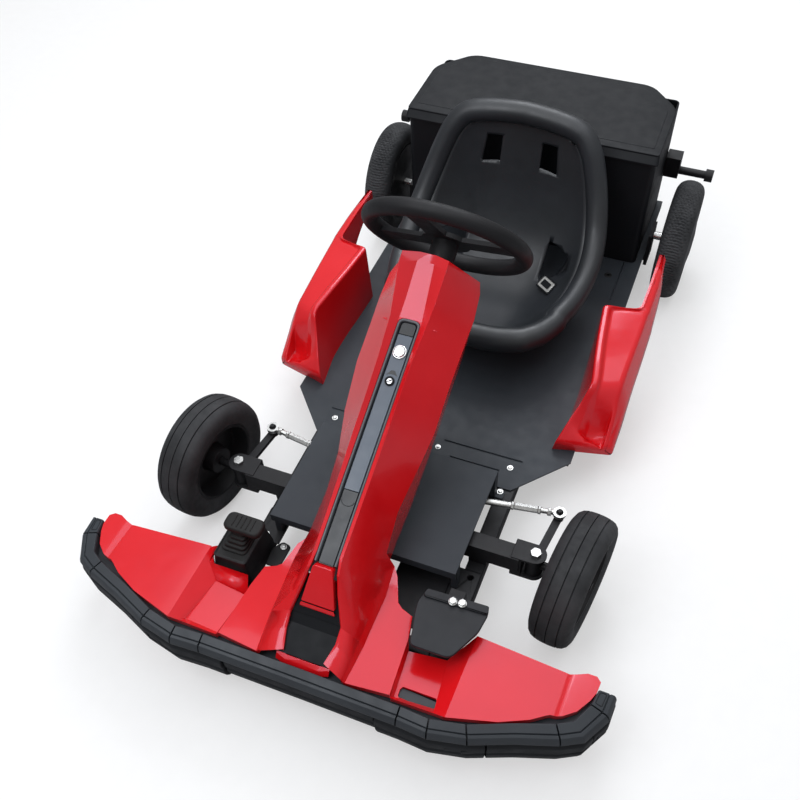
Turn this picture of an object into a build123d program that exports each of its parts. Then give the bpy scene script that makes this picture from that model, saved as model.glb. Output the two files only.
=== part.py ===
from build123d import *
import os
from math import atan2, cos, degrees, hypot, radians, sin, tan

# Kids electric go-kart. Millimetres, front towards -Y, the kart's left is +X, ground at Z = 0.
# The origin is on the ground in the middle of the kart's length and width.

os.makedirs("parts", exist_ok=True)

# Driving dimensions
LENGTH = 1495.0
FRONT_Y = -LENGTH / 2
REAR_Y = LENGTH / 2
FRONT_AXLE_Y = -372.5
REAR_AXLE_Y = 562.5
FRONT_R = 124.0
FRONT_W = 78.0
REAR_R = 133.5
REAR_W = 64.0
KINGPIN_X = 296.0
FRONT_OFFSET = 75.0
REAR_X = 354.5
PAN_Z = 101.0
PAN_X = 291.0

# Steering at rest, as parked: both front wheels are turned a little to the kart's right
STEER_LEFT = -7.4
STEER_RIGHT = -8.4
WHEEL_TURN = -14.0
COLUMN_SLOPE = 34.0
LOWER_SLOPE = 60.0
WHEEL_Y = -20.0
WHEEL_Z = 494.0
ARM_Z = 131.0
ARM_LENGTH = 109.0
DROP_ARM = 60.0
STUD_X = 16.0
SIDES = (("left", 1, STEER_LEFT), ("right", -1, STEER_RIGHT))


def finish(builder, name):
    """Names a finished piece and writes its file."""
    builder.part.label = name
    export_step(builder.part, f"parts/{name}.step")


def side_plane(x):
    """A plane across X at x, drawn in the kart's Y (to the right) and Z (up)."""
    return Plane(origin=(x, 0, 0), x_dir=(0, 1, 0), z_dir=(1, 0, 0))


def cross_plane(y):
    """A plane across Y at y, drawn in the kart's X and Z."""
    return Plane(origin=(0, y, 0), x_dir=(1, 0, 0), z_dir=(0, -1, 0))


def mirrored(points):
    """A half outline, from the middle out, closed by its mirror image."""
    return points + [(-x, y) for x, y in reversed(points)]


def column_point(along, above=0.0):
    """A point of the upper steering shaft's line, measured back from the wheel's centre."""
    slope = radians(COLUMN_SLOPE)
    y = WHEEL_Y - along * cos(slope) - above * sin(slope)
    z = WHEEL_Z - along * sin(slope) + above * cos(slope)
    return (0, y, z)


def turned(plane, angle):
    """The same plane with its x turned about its own normal, in degrees."""
    turn = radians(angle)
    x_dir = plane.x_dir * cos(turn) + plane.y_dir * sin(turn)
    return Plane(origin=plane.origin, x_dir=x_dir, z_dir=plane.z_dir)


def column_plane(along):
    """A plane square to the upper steering shaft. Its normal points at the driver, its x is +X."""
    slope = radians(COLUMN_SLOPE)
    return Plane(origin=column_point(along), x_dir=(1, 0, 0), z_dir=(0, cos(slope), sin(slope)))


# The lower steering shaft meets the upper one in a ball joint under the cover
RISE = tan(radians(COLUMN_SLOPE))
ARM_BACK = DROP_ARM * sin(radians(LOWER_SLOPE))
ARM_DROP = DROP_ARM * cos(radians(LOWER_SLOPE))
STUD_Y = -308.0
FOOT_Y = STUD_Y - ARM_BACK
FOOT_Z = ARM_Z + ARM_DROP
JOINT_T = (WHEEL_Z + RISE * (FOOT_Y - WHEEL_Y) - FOOT_Z) / (
    sin(radians(LOWER_SLOPE)) - RISE * cos(radians(LOWER_SLOPE))
)
JOINT_Y = FOOT_Y + JOINT_T * cos(radians(LOWER_SLOPE))
JOINT_Z = FOOT_Z + JOINT_T * sin(radians(LOWER_SLOPE))
UPPER_LENGTH = hypot(JOINT_Y - WHEEL_Y, JOINT_Z - WHEEL_Z)


def lower_plane(up):
    """A plane square to the lower steering shaft, up along it from its foot, turned as parked."""
    slope = radians(LOWER_SLOPE)
    origin = (0, FOOT_Y + up * cos(slope), FOOT_Z + up * sin(slope))
    straight = Plane(origin=origin, x_dir=(1, 0, 0), z_dir=(0, cos(slope), sin(slope)))
    return turned(straight, WHEEL_TURN)


# Frame: two long rails under the pan, cross tubes and the uprights of the rear axle
RAIL_X = 196.0
RAIL_W = 34.0
RAIL_H = 32.0
RAIL_TOP = PAN_Z - 3.0
RAIL_FRONT = -600.0
RAIL_BACK = 735.0
CROSS_TUBES = (-585.0, -230.0, -40.0, 150.0, 400.0, REAR_AXLE_Y, 720.0)
OUTRIGGERS = ((-40.0, 334.0), (150.0, 334.0), (REAR_AXLE_Y, 300.0))
ARM_H = 18.0
AXLE_PLATE_X = 293.0
AXLE_PLATE_T = 8.0

FRAME_HOLE_X = 195.0
FRAME_HOLE_Y = -430.0

with BuildPart() as frame_rails:
    with BuildSketch(Plane.XY.offset(RAIL_TOP)):
        for sx in (1, -1):
            with Locations((sx * RAIL_X, (RAIL_FRONT + RAIL_BACK) / 2)):
                Rectangle(RAIL_W, RAIL_BACK - RAIL_FRONT)
    extrude(amount=-RAIL_H)
    # flat plates on the rails beside the linkage cover's feet
    with BuildSketch(Plane.XY.offset(RAIL_TOP)):
        for sx in (1, -1):
            with Locations((sx * 188, -452)):
                Rectangle(50, 72)
    extrude(amount=3)
    with Locations(*[(sx * FRAME_HOLE_X, FRAME_HOLE_Y, RAIL_TOP + 3) for sx in (1, -1)]):
        Hole(radius=5, depth=RAIL_H + 3)
finish(frame_rails, "frame_rails")

with BuildPart() as frame_cross_tubes:
    with BuildSketch(Plane.XY.offset(RAIL_TOP)):
        for y in CROSS_TUBES:
            with Locations((0, y)):
                Rectangle(2 * RAIL_X - RAIL_W, 28)
    extrude(amount=-RAIL_H)
finish(frame_cross_tubes, "frame_cross_tubes")

# Flat arms out to the pods, and to the plates that hold the hub motors' axles
with BuildPart() as frame_outriggers:
    rail_side = RAIL_X + RAIL_W / 2
    with BuildSketch(Plane.XY.offset(RAIL_TOP - RAIL_H)):
        for sx in (1, -1):
            for y, reach in OUTRIGGERS:
                with Locations((sx * (reach + rail_side) / 2, y)):
                    Rectangle(reach - rail_side, 28)
    extrude(amount=ARM_H)
    for sx in (1, -1):
        with BuildSketch(side_plane(sx * AXLE_PLATE_X)):
            with Locations((REAR_AXLE_Y, 108)):
                Rectangle(60, 84)
        extrude(amount=sx * AXLE_PLATE_T)
finish(frame_outriggers, "frame_outriggers")

# Front axle: a square tube on the rails with a fork for each knuckle
BEAM_TOP = 150.0
BEAM_H = 40.0
BEAM_W = 32.0
BEAM_Y = -379.0
FORK_TOP = 152.0
FORK_LOW = 92.0
FORK_T = 6.0
KNUCKLE_R = 16.0
SLEEVE_POST = [
    (-395, 150),
    (-382, 150),
    (-382, 172),
    (-366, 186),
    (-350, 200),
    (-340, 214),
    (-362, 214),
    (-395, 176),
]

with BuildPart() as front_axle_beam:
    with BuildSketch(Plane.XY.offset(BEAM_TOP)):
        with Locations((0, BEAM_Y)):
            Rectangle(2 * 272, BEAM_W)
    extrude(amount=-BEAM_H)
    # blocks that carry the beam on the rails
    with BuildSketch(Plane.XY.offset(BEAM_TOP - BEAM_H)):
        for sx in (1, -1):
            with Locations((sx * RAIL_X, BEAM_Y)):
                Rectangle(RAIL_W, BEAM_W)
    extrude(amount=RAIL_TOP - BEAM_TOP + BEAM_H)
    # fork plates and the web between them
    for z in (FORK_TOP, FORK_LOW + FORK_T):
        with BuildSketch(Plane.XY.offset(z)):
            for sx in (1, -1):
                with Locations((sx * (KINGPIN_X - 20), FRONT_AXLE_Y)):
                    Rectangle(40, 40)
                with Locations((sx * KINGPIN_X, FRONT_AXLE_Y)):
                    Circle(20)
        extrude(amount=-FORK_T)
    with BuildSketch(Plane.XY.offset(FORK_TOP)):
        for sx in (1, -1):
            with Locations((sx * 266, FRONT_AXLE_Y)):
                Rectangle(20, 40)
    extrude(amount=FORK_LOW - FORK_TOP)
    with Locations(*[(sx * KINGPIN_X, FRONT_AXLE_Y, FORK_TOP) for sx in (1, -1)]):
        Hole(radius=5.2, depth=FORK_TOP)
    # the lower steering shaft turns in a sleeve behind the beam
    slope = radians(LOWER_SLOPE)
    sleeve_foot = Plane(
        origin=(0, FOOT_Y + 12 * cos(slope), FOOT_Z + 12 * sin(slope)),
        x_dir=(1, 0, 0),
        z_dir=(0, cos(slope), sin(slope)),
    )
    with BuildSketch(sleeve_foot):
        Circle(17)
    extrude(amount=50)
    with BuildSketch(side_plane(-12)):
        with BuildLine():
            Polyline(*SLEEVE_POST, close=True)
        make_face()
    extrude(amount=24)
    with BuildSketch(sleeve_foot.offset(-10)):
        Circle(11.5)
    extrude(amount=90, mode=Mode.SUBTRACT)
finish(front_axle_beam, "front_axle_beam")

with BuildPart() as kingpin_bolts:
    for sx in (1, -1):
        with BuildSketch(Plane.XY.offset(FORK_LOW - 10)):
            with Locations((sx * KINGPIN_X, FRONT_AXLE_Y)):
                Circle(5)
        extrude(amount=FORK_TOP - FORK_LOW + 14)
        with BuildSketch(Plane.XY.offset(FORK_TOP)):
            with Locations((sx * KINGPIN_X, FRONT_AXLE_Y)):
                RegularPolygon(9.8, 6)
        extrude(amount=6.5)
        with BuildSketch(Plane.XY.offset(FORK_LOW)):
            with Locations((sx * KINGPIN_X, FRONT_AXLE_Y)):
                RegularPolygon(9.8, 6)
        extrude(amount=-8)
finish(kingpin_bolts, "kingpin_bolts")

# Floor pan: half outline from the middle of the front edge
PAN_HALF = [(0, -223.0), (204, -223.0), (295, -120.0), (PAN_X, 735.0), (0, 735.0)]
PAN_LIP = 16.0
PAN_HOLE_X = 230.0
PAN_HOLE_Y = 431.0

with BuildPart() as floor_pan:
    with BuildSketch(Plane.XY.offset(PAN_Z)):
        with BuildLine():
            Polyline(*PAN_HALF, close=True)
        make_face()
        mirror(about=Plane.YZ)
    extrude(amount=-3)
    with BuildSketch(Plane.XY.offset(PAN_Z - 3)):
        for sx in (1, -1):
            with Locations((sx * (PAN_X - 2), 307)):
                Rectangle(4, 850)
    extrude(amount=3 - PAN_LIP)
    with Locations(*[(sx * PAN_HOLE_X, PAN_HOLE_Y, PAN_Z) for sx in (1, -1)]):
        Hole(radius=5, depth=3)
finish(floor_pan, "floor_pan")

# Plate over the steering linkage
COVER_X = 180.0
COVER_FRONT = -467.5
COVER_BACK = -231.5
COVER_TOP = 165.0
COVER_H = 20.0

with BuildPart() as linkage_cover:
    with BuildSketch(Plane.XY.offset(COVER_TOP)):
        with Locations((0, (COVER_FRONT + COVER_BACK) / 2)):
            Rectangle(2 * COVER_X, COVER_BACK - COVER_FRONT)
    extrude(amount=-3)
    with BuildSketch(Plane.XY.offset(COVER_TOP - 3)):
        for y in (COVER_FRONT + 2, COVER_BACK - 2):
            with Locations((0, y)):
                Rectangle(2 * COVER_X, 4)
    extrude(amount=3 - COVER_H)
    with BuildSketch(Plane.XY.offset(RAIL_TOP + 3)):
        for y in (COVER_FRONT + 16, COVER_BACK - 8):
            for sx in (1, -1):
                with Locations((sx * (COVER_X - 6), y)):
                    Rectangle(12, 16)
    extrude(amount=COVER_TOP - RAIL_TOP - 6)
    with BuildSketch(Plane.XY.offset(RAIL_TOP)):
        for sx in (1, -1):
            with Locations((sx * (COVER_X + 5), COVER_BACK - 8)):
                Rectangle(22, 16)
    extrude(amount=3)
    # way for the lower steering shaft
    with BuildSketch(Plane.XY.offset(COVER_TOP)):
        with Locations((0, -345)):
            Rectangle(70, 112)
    extrude(amount=-3, mode=Mode.SUBTRACT)
finish(linkage_cover, "linkage_cover")

# Dash strip along the middle of the cover, and what is on it
STRIP_SLOPE = degrees(atan2(0.458, 1))
STRIP_MID_Y = -248.5
STRIP_MID_Z = 446.0


def strip_plane(y):
    """A plane lying on the strip at y, its x along +X and its y up the slope."""
    rise = radians(STRIP_SLOPE)
    z = STRIP_MID_Z + (y - STRIP_MID_Y) * tan(rise)
    return Plane(origin=(0, y, z), x_dir=(1, 0, 0), z_dir=(0, -sin(rise), cos(rise)))


# Column cover: half sections at stations along Y, each (y, flat x, flat z, ridge x, ridge z, side x,
# side z, foot x, foot z)
COVER_STATIONS = (
    (-105.0, 15, 532, 40, 526, 84, 446, 78, 400),
    (-203.0, 20, 470, 33, 467, 87, 392, 80, 340),
    (-300.0, 22, 424, 30, 421, 84, 330, 78, 262),
    (-430.0, 22, 362, 29, 359, 68, 272, 64, 190),
    (-590.0, 22, 288, 27, 284, 66, 205, 64, 150),
    (-705.0, 34, 196, 42, 188, 72, 160, 70, 140),
)
COVER_WALL = 4.0
COVER_HALF = 90.0


def cover_section(station, wall):
    """Outline of the cover's shell at a station, drawn in X and Z, shrunk by a wall's thickness."""
    y, flat_x, flat_z, ridge_x, ridge_z, side_x, side_z, foot_x, foot_z = station
    half = [
        (flat_x, flat_z - wall),
        (ridge_x - wall * 0.4, ridge_z - wall),
        (side_x - wall, side_z - wall * 0.3),
        (foot_x - wall, foot_z - wall * 2),
    ]
    return half + [(-x, z) for x, z in reversed(half)]


with BuildPart() as column_cover:
    for station in COVER_STATIONS:
        with BuildSketch(cross_plane(station[0])):
            with BuildLine():
                Polyline(*cover_section(station, 0), close=True)
            make_face()
    loft(ruled=True)
    for station in COVER_STATIONS:
        past = 6 if station is COVER_STATIONS[0] else 0
        with BuildSketch(cross_plane(station[0] + past)):
            with BuildLine():
                Polyline(*cover_section(station, COVER_WALL), close=True)
            make_face()
    loft(ruled=True, mode=Mode.SUBTRACT)
    # the dash strip's place, and the opening at the foot, which the grille fills
    with BuildSketch(strip_plane(-392).offset(-20)):
        RectangleRounded(40, 390, 12)
    extrude(amount=40, mode=Mode.SUBTRACT)
    with BuildSketch(Plane.XY.offset(340)):
        with BuildLine():
            Polyline((-18, -592), (18, -592), (33, -660), (26, -706), (-26, -706), (-33, -660), close=True)
        make_face()
    extrude(amount=-160, mode=Mode.SUBTRACT)
finish(column_cover, "column_cover")

# Bent panel that closes the opening inside the cover, and the wedge above it
GRILLE_BEND = [(-590, 246), (-628, 208), (-655, 184), (-703, 165)]
GRILLE_T = 6.0
INSERT_SIDE = [(-593, 284), (-631, 225), (-631, 204), (-593, 240)]
INSERT_PLAN = [(17, -593), (30, -631)]

with BuildPart() as nose_grille:
    with BuildSketch(side_plane(-COVER_HALF)):
        with BuildLine():
            Polyline(*GRILLE_BEND, *[(y, z - GRILLE_T) for y, z in reversed(GRILLE_BEND)], close=True)
        make_face()
    extrude(amount=2 * COVER_HALF)
    for station in COVER_STATIONS:
        with BuildSketch(cross_plane(station[0])):
            with BuildLine():
                Polyline(*cover_section(station, COVER_WALL), close=True)
            make_face()
    loft(ruled=True, mode=Mode.INTERSECT)
finish(nose_grille, "nose_grille")

with BuildPart() as nose_insert:
    with BuildSketch(side_plane(-COVER_HALF)):
        with BuildLine():
            Polyline(*INSERT_SIDE, close=True)
        make_face()
    extrude(amount=2 * COVER_HALF)
    with BuildSketch(Plane.XY):
        with BuildLine():
            Polyline(*mirrored(INSERT_PLAN), close=True)
        make_face()
    extrude(amount=400, mode=Mode.INTERSECT)
    add(nose_grille.part, mode=Mode.SUBTRACT)
finish(nose_insert, "nose_insert")

with BuildPart() as dash_strip:
    with BuildSketch(strip_plane(-392)):
        RectangleRounded(40, 390, 12)
    extrude(amount=6)
finish(dash_strip, "dash_strip")

with BuildPart() as dash_controls:
    with BuildSketch(strip_plane(-248.5).offset(6)):
        Circle(11)
    extrude(amount=5)
    with BuildSketch(strip_plane(-294.5).offset(6)):
        Circle(7.5)
    extrude(amount=3)
finish(dash_controls, "dash_controls")

# Nose fairing: half outline of the plate, from the middle of its front edge
NOSE_Z = 158.0
NOSE_T = 26.0
NOSE_HALF = [
    (76, -714),
    (236, -716),
    (290, -706),
    (412, -657),
    (450, -602),
    (456, -561),
    (417, -566),
    (251, -562),
    (219, -618),
    (148, -612),
    (131, -561),
    (107, -545),
    (76, -545),
]
SLOT_X = 194.0
SLOT_Y = -692.0

with BuildPart() as nose_fairing:
    with BuildSketch(Plane.XY.offset(NOSE_Z)):
        for sx in (1, -1):
            with BuildLine():
                Polyline(*[(sx * x, y) for x, y in NOSE_HALF], close=True)
            make_face()
        with Locations((0, -710.5)):
            Rectangle(160, 7)
        # only the kart's left toe well has a slot
        with Locations((SLOT_X, SLOT_Y)):
            SlotOverall(62, 18, mode=Mode.SUBTRACT)
    extrude(amount=-NOSE_T)
finish(nose_fairing, "nose_fairing")

# Bumper: half of its inner and of its outer top edge, from the middle out
BUMPER_IN = [(0, -720), (228, -724), (287, -712), (419, -660), (457, -605), (466, -576)]
BUMPER_OUT = [(0, FRONT_Y + 2), (232, FRONT_Y), (296, -733), (434, -681), (488, -612), (494, -578)]
BUMPER_TOP = 169.0
TIER_H = 30.0
LOW_TIER_H = 84.0

TIERS = (("bumper_upper", BUMPER_TOP, TIER_H), ("bumper_lower", BUMPER_TOP - TIER_H, LOW_TIER_H))

for name, top, height in TIERS:
    with BuildPart() as bumper:
        with BuildSketch(Plane.XY.offset(top)):
            with BuildLine():
                Polyline(*BUMPER_IN, *reversed(BUMPER_OUT), close=True)
            make_face()
            mirror(about=Plane.YZ)
        extrude(amount=-height)
    finish(bumper, name)

with BuildPart() as bumper_stays:
    with BuildSketch(Plane.XY.offset(RAIL_TOP)):
        for sx in (1, -1):
            with Locations((sx * RAIL_X, (RAIL_FRONT - 722) / 2)):
                Rectangle(24, RAIL_FRONT + 722)
    extrude(amount=-22)
    # tab beside the left one, under the slot of the toe well
    with BuildSketch(Plane.XY.offset(RAIL_TOP)):
        with Locations((SLOT_X + 20, SLOT_Y + 16)):
            Rectangle(64, 80)
    extrude(amount=-3)
finish(bumper_stays, "bumper_stays")

# Side pods: slanted sections from the front to the back, as X and Z of their corners
POD_X = 250.0
POD_STATIONS = (
    # Y at X 250, slant in plan, inner foot, inner top, crease, shoulder, outer edge, outer foot
    (-98, 13.8, 250, (256, 130), (303, 129), (345, 124), (366, 118), (365, 90)),
    (-67, 13.8, 256, (270, 176), (312, 170), (346, 156), (367, 138), (366, 88)),
    (-20, 13.8, 262, (294, 222), (322, 216), (347, 203), (367, 158), (366, 86)),
    (47, 13.8, 262, (280, 229), (311, 227), (348, 209), (367, 160), (364, 86)),
    (106, 13.8, 258, (272, 232), (317, 228), (350, 214), (368, 164), (363, 88)),
    (193, 7.0, 255, (261, 234), (325, 229), (351, 222), (367, 172), (361, 92)),
)
POD_STEP_X = 346.0
SPIKE_STATIONS = (
    # Y, then X and Z of the inner foot and top, the shoulder, the outer edge and its foot
    (199, (336, 112), (337, 224), (350, 219), (364, 178), (360, 114)),
    (222, (334, 118), (337, 227), (353, 223), (367, 180), (362, 116)),
    (305, (335, 164), (336, 226), (352, 223), (363, 200), (360, 162)),
    (368, (335, 190), (334, 224), (347, 222), (355, 210), (353, 188)),
    (396, (335, 202), (335, 222), (345, 221), (350, 212), (348, 202)),
)
# Hollow in the front slope: its outline in Y and Z at the inner side and at its outer end
HOLLOW = (
    (240, [(-44, 246), (-93, 131), (-125, 131), (-125, 246)]),
    (338, [(6, 218), (-60, 131), (-120, 127), (-120, 218)]),
)

for side, sx, _ in SIDES:
    with BuildPart() as side_pod:
        for y, slant, foot, top, crease, shoulder, outer, low in POD_STATIONS:
            lean = cos(radians(slant))
            drift = sin(radians(slant))
            corners = [(foot, PAN_Z), top, crease, shoulder, outer, low, (POD_STEP_X, PAN_Z)]
            across = (sx * lean, drift, 0)
            with BuildSketch(Plane(origin=(sx * POD_X, y, 0), x_dir=across, z_dir=(drift, -sx * lean, 0))):
                with BuildLine():
                    Polyline(*[((x - POD_X) / lean, z) for x, z in corners], close=True)
                make_face()
        loft(ruled=True)
        with BuildPart(mode=Mode.PRIVATE) as spike:
            for y, *corners in SPIKE_STATIONS:
                with BuildSketch(cross_plane(y)):
                    with BuildLine():
                        Polyline(*[(sx * x, z) for x, z in corners], close=True)
                    make_face()
            loft(ruled=True)
        add(spike.part)
        with BuildPart(mode=Mode.PRIVATE) as hollow:
            for x, outline in HOLLOW:
                with BuildSketch(side_plane(sx * x)):
                    with BuildLine():
                        Polyline(*outline, close=True)
                    make_face()
            loft(ruled=True)
        add(hollow.part, mode=Mode.SUBTRACT)
    finish(side_pod, f"side_pod_{side}")

with BuildPart() as pod_brackets:
    for sx in (1, -1):
        with BuildSketch(Plane.XY.offset(RAIL_TOP - RAIL_H + ARM_H)):
            for y, reach in OUTRIGGERS[:2]:
                with Locations((sx * (reach - 18), y)):
                    Rectangle(36, 26)
        extrude(amount=PAN_Z - RAIL_TOP + RAIL_H - ARM_H)
finish(pod_brackets, "pod_brackets")

# Seat: a tub with a rolled rim, from the front of the cushion to the top of the back
SEAT_STATIONS = (
    # half width, Y and Z of the rim's middle, then Y and Z of the tub's middle line
    (122, 66, 197, 62, 174),
    (143, 82, 198, 88, 144),
    (160, 100, 199, 124, 125),
    (177, 134, 200, 180, 118),
    (191, 175, 201, 226, 118),
    (202, 222, 203, 284, 124),
    (209, 280, 214, 340, 148),
    (209, 325, 234, 379, 187),
    (203, 362, 262, 405, 234),
    (194, 388, 296, 423, 284),
    (183, 408, 332, 434, 326),
    (170, 424, 370, 443, 366),
    (153, 437, 408, 451, 405),
    (124, 449, 438, 456, 434),
)
RIM_FRONT = [(0, 52, 194), (70, 53, 195)]
RIM_BACK = [(66, 455, 450), (0, 457, 455)]
RIM_MIDDLE = (0, 260, 330)
RIM_R = 16.5
RIM_FRONT_R = 22.0
RIM_THICK_Y = 60.0
RIM_THIN_Y = 150.0
RIM_STEPS = 18
SEAT_WALL = 5.0
SEAT_SHARES = (0.3, 0.55, 0.75, 0.89, 1.0)
SHOULDER_SLOT = [(77, 394), (44, 395), (44, 340), (84, 334)]
BELT_OPENING = [(96, 205), (150, 205), (172, 150), (128, 132), (92, 150)]


def tub_half(half, depth):
    """Half of the tub's inner section: flat in the middle, then rising to the rim."""
    flat = SEAT_SHARES[0]
    points = []
    for share in SEAT_SHARES:
        rise = ((share - flat) / (1 - flat)) ** 2.2
        points.append((half * share * (1.12 - 0.12 * share), depth * rise))
    return points


def tub_outer(inner):
    """The same half section moved outwards by the wall."""
    outer = []
    for i, (x, rise) in enumerate(inner):
        before = inner[max(i - 1, 0)]
        after = inner[min(i + 1, len(inner) - 1)]
        run = after[0] - before[0]
        climb = after[1] - before[1] if i else 0
        length = hypot(run, climb)
        outer.append((x + SEAT_WALL * climb / length, rise - SEAT_WALL * run / length))
    return outer


def rim_radius(y):
    """Radius of the rolled rim, which is thicker along the front."""
    share = (RIM_THIN_Y - y) / (RIM_THIN_Y - RIM_THICK_Y)
    return RIM_R + (RIM_FRONT_R - RIM_R) * min(max(share, 0), 1)


with BuildPart() as seat_shell:
    for half, rim_y, rim_z, floor_y, floor_z in SEAT_STATIONS:
        depth = hypot(rim_y - floor_y, rim_z - floor_z)
        inner = tub_half(half, depth)
        side = inner + list(reversed(tub_outer(inner)))
        normal = (0, (floor_z - rim_z) / depth, (rim_y - floor_y) / depth)
        with BuildSketch(Plane(origin=(0, floor_y, floor_z), x_dir=(1, 0, 0), z_dir=normal)):
            with BuildLine():
                Polyline(*side, *[(-x, rise) for x, rise in reversed(side)], close=True)
            make_face()
    loft(ruled=True)
    # slots for shoulder straps, and openings beside the cushion
    with BuildSketch(cross_plane(470)):
        for sx in (1, -1):
            for outline in (SHOULDER_SLOT, BELT_OPENING):
                with BuildLine():
                    Polyline(*[(sx * x, z) for x, z in outline], close=True)
                make_face()
    extrude(amount=160, mode=Mode.SUBTRACT)
    with BuildPart(mode=Mode.PRIVATE) as rim:
        with BuildLine():
            sides = [row[:3] for row in SEAT_STATIONS]
            line = Spline(*RIM_FRONT, *sides, *RIM_BACK, tangents=((1, 0, 0), (-1, 0, 0)))
        for step in range(RIM_STEPS + 1):
            middle = line.position_at(step / RIM_STEPS)
            along = line.tangent_at(step / RIM_STEPS)
            away = middle - Vector(*RIM_MIDDLE)
            with BuildSketch(Plane(origin=middle, x_dir=away - along * away.dot(along), z_dir=along)):
                Circle(rim_radius(middle.Y))
        loft(ruled=True)
        mirror(about=Plane.YZ)
    add(rim.part)
finish(seat_shell, "seat_shell")

MOUNT_X = 50.0
MOUNT_Y = 205.0

with BuildPart() as seat_mount:
    with BuildSketch(Plane.XY.offset(PAN_Z)):
        for sx in (1, -1):
            with Locations((sx * MOUNT_X, MOUNT_Y)):
                Rectangle(26, 110)
    extrude(amount=16)
    add(seat_shell.part, mode=Mode.SUBTRACT)
finish(seat_mount, "seat_mount")

# Rear box and its lid
BOX_X = 278.0
BOX_FRONT = 488.0
BOX_BACK = 738.0
BOX_TOP = 366.0
BOX_WALL = 4.0
LID_X = 283.0
LID_FRONT = 481.0
LID_TOP = 385.0

with BuildPart() as rear_box:
    with BuildSketch(Plane.XY.offset(PAN_Z)):
        with Locations((0, (BOX_FRONT + BOX_BACK) / 2)):
            RectangleRounded(2 * BOX_X, BOX_BACK - BOX_FRONT, 12)
    extrude(amount=BOX_TOP - PAN_Z)
    with BuildSketch(Plane.XY.offset(PAN_Z)):
        with Locations((0, (BOX_FRONT + BOX_BACK) / 2)):
            RectangleRounded(2 * (BOX_X - BOX_WALL), BOX_BACK - BOX_FRONT - 2 * BOX_WALL, 8)
    extrude(amount=BOX_TOP - PAN_Z, mode=Mode.SUBTRACT)
finish(rear_box, "rear_box")

with BuildPart() as rear_lid:
    with BuildSketch(Plane.XY.offset(BOX_TOP)):
        with BuildLine():
            Line((-LID_X, LID_FRONT), (LID_X, LID_FRONT))
            Line((LID_X, LID_FRONT), (LID_X, REAR_Y - 75))
            RadiusArc((LID_X, REAR_Y - 75), (LID_X - 75, REAR_Y), -75)
            Line((LID_X - 75, REAR_Y), (-LID_X + 75, REAR_Y))
            RadiusArc((-LID_X + 75, REAR_Y), (-LID_X, REAR_Y - 75), -75)
            Line((-LID_X, REAR_Y - 75), (-LID_X, LID_FRONT))
        make_face()
    extrude(amount=LID_TOP - BOX_TOP)
finish(rear_lid, "rear_lid")

with BuildPart() as battery_block:
    with BuildSketch(Plane.XY.offset(PAN_Z)):
        with Locations((0, 610)):
            Rectangle(320, 180)
    extrude(amount=150)
finish(battery_block, "battery_block")

# Fixed axles of the hub motors
with BuildPart() as rear_stub_axles:
    for sx in (1, -1):
        with BuildSketch(side_plane(sx * (AXLE_PLATE_X + AXLE_PLATE_T))):
            with Locations((REAR_AXLE_Y, REAR_R)):
                Circle(9)
        extrude(amount=sx * (REAR_X + 20 - AXLE_PLATE_X - AXLE_PLATE_T))
finish(rear_stub_axles, "rear_stub_axles")

with BuildPart() as rear_guard:
    for sx in (1, -1):
        with BuildSketch(side_plane(sx * 279)):
            with Locations((712, 225)):
                Rectangle(36, 50)
        extrude(amount=sx * 34)
        with BuildSketch(side_plane(sx * 313)):
            with Locations((722, 205)):
                Circle(9)
        extrude(amount=sx * 60)
        with BuildSketch(side_plane(sx * 373)):
            with Locations((722, 205)):
                Circle(14)
        extrude(amount=sx * 18)
finish(rear_guard, "rear_guard")

# Throttle, in front of the driver's right foot
THROTTLE_X = -206.0
THROTTLE_Y = -540.0

with BuildPart() as throttle_base:
    with BuildSketch(Plane.XY.offset(RAIL_TOP)):
        with Locations((THROTTLE_X, THROTTLE_Y + 5)):
            RectangleRounded(62, 84, 6)
    extrude(amount=66)
finish(throttle_base, "throttle_base")

with BuildPart() as throttle_boot:
    with BuildSketch(Plane.XY.offset(RAIL_TOP + 66)):
        with Locations((THROTTLE_X, THROTTLE_Y + 8)):
            RectangleRounded(50, 62, 10)
    with BuildSketch(Plane.XY.offset(RAIL_TOP + 100)):
        with Locations((THROTTLE_X + 6, THROTTLE_Y + 14)):
            RectangleRounded(28, 30, 8)
    loft(ruled=True)
finish(throttle_boot, "throttle_boot")

with BuildPart() as throttle_pad:
    with BuildSketch(Plane.XY.offset(RAIL_TOP + 100)):
        with Locations((THROTTLE_X + 12, THROTTLE_Y + 16)):
            Ellipse(37, 19)
    extrude(amount=13)
finish(throttle_pad, "throttle_pad")

# Brake, in front of the driver's left foot, on a plate beside the rail
BRAKE_FLOOR = [(64, -560), (212, -560), (212, -488), (163, -488), (163, -430), (64, -430)]

with BuildPart() as brake_bracket:
    with BuildSketch(Plane.XY.offset(RAIL_TOP)):
        with BuildLine():
            Polyline(*BRAKE_FLOOR, close=True)
        make_face()
    extrude(amount=3)
    with BuildSketch(Plane.XY.offset(RAIL_TOP)):
        with Locations((RAIL_X, -530)):
            Rectangle(28, 70)
    extrude(amount=70)
finish(brake_bracket, "brake_bracket")

BRAKE_PLATE = [
    (148, -532),
    (255, -528),
    (260, -545),
    (254, -577),
    (222, -628),
    (154, -625),
    (143, -572),
]

with BuildPart() as brake_pedal:
    with BuildSketch(Plane.XY.offset(RAIL_TOP + 86)):
        with BuildLine():
            Polyline(*BRAKE_PLATE, close=True)
        make_face()
    extrude(amount=5)
    with BuildSketch(Plane.XY.offset(RAIL_TOP + 70)):
        with Locations((RAIL_X + 8, -533)):
            Rectangle(40, 16)
    extrude(amount=17)
finish(brake_pedal, "brake_pedal")

# Steering column: fixed tube under the cover, carried from the linkage plate
TUBE_FROM = 92.0
TUBE_TO = 158.0

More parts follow.
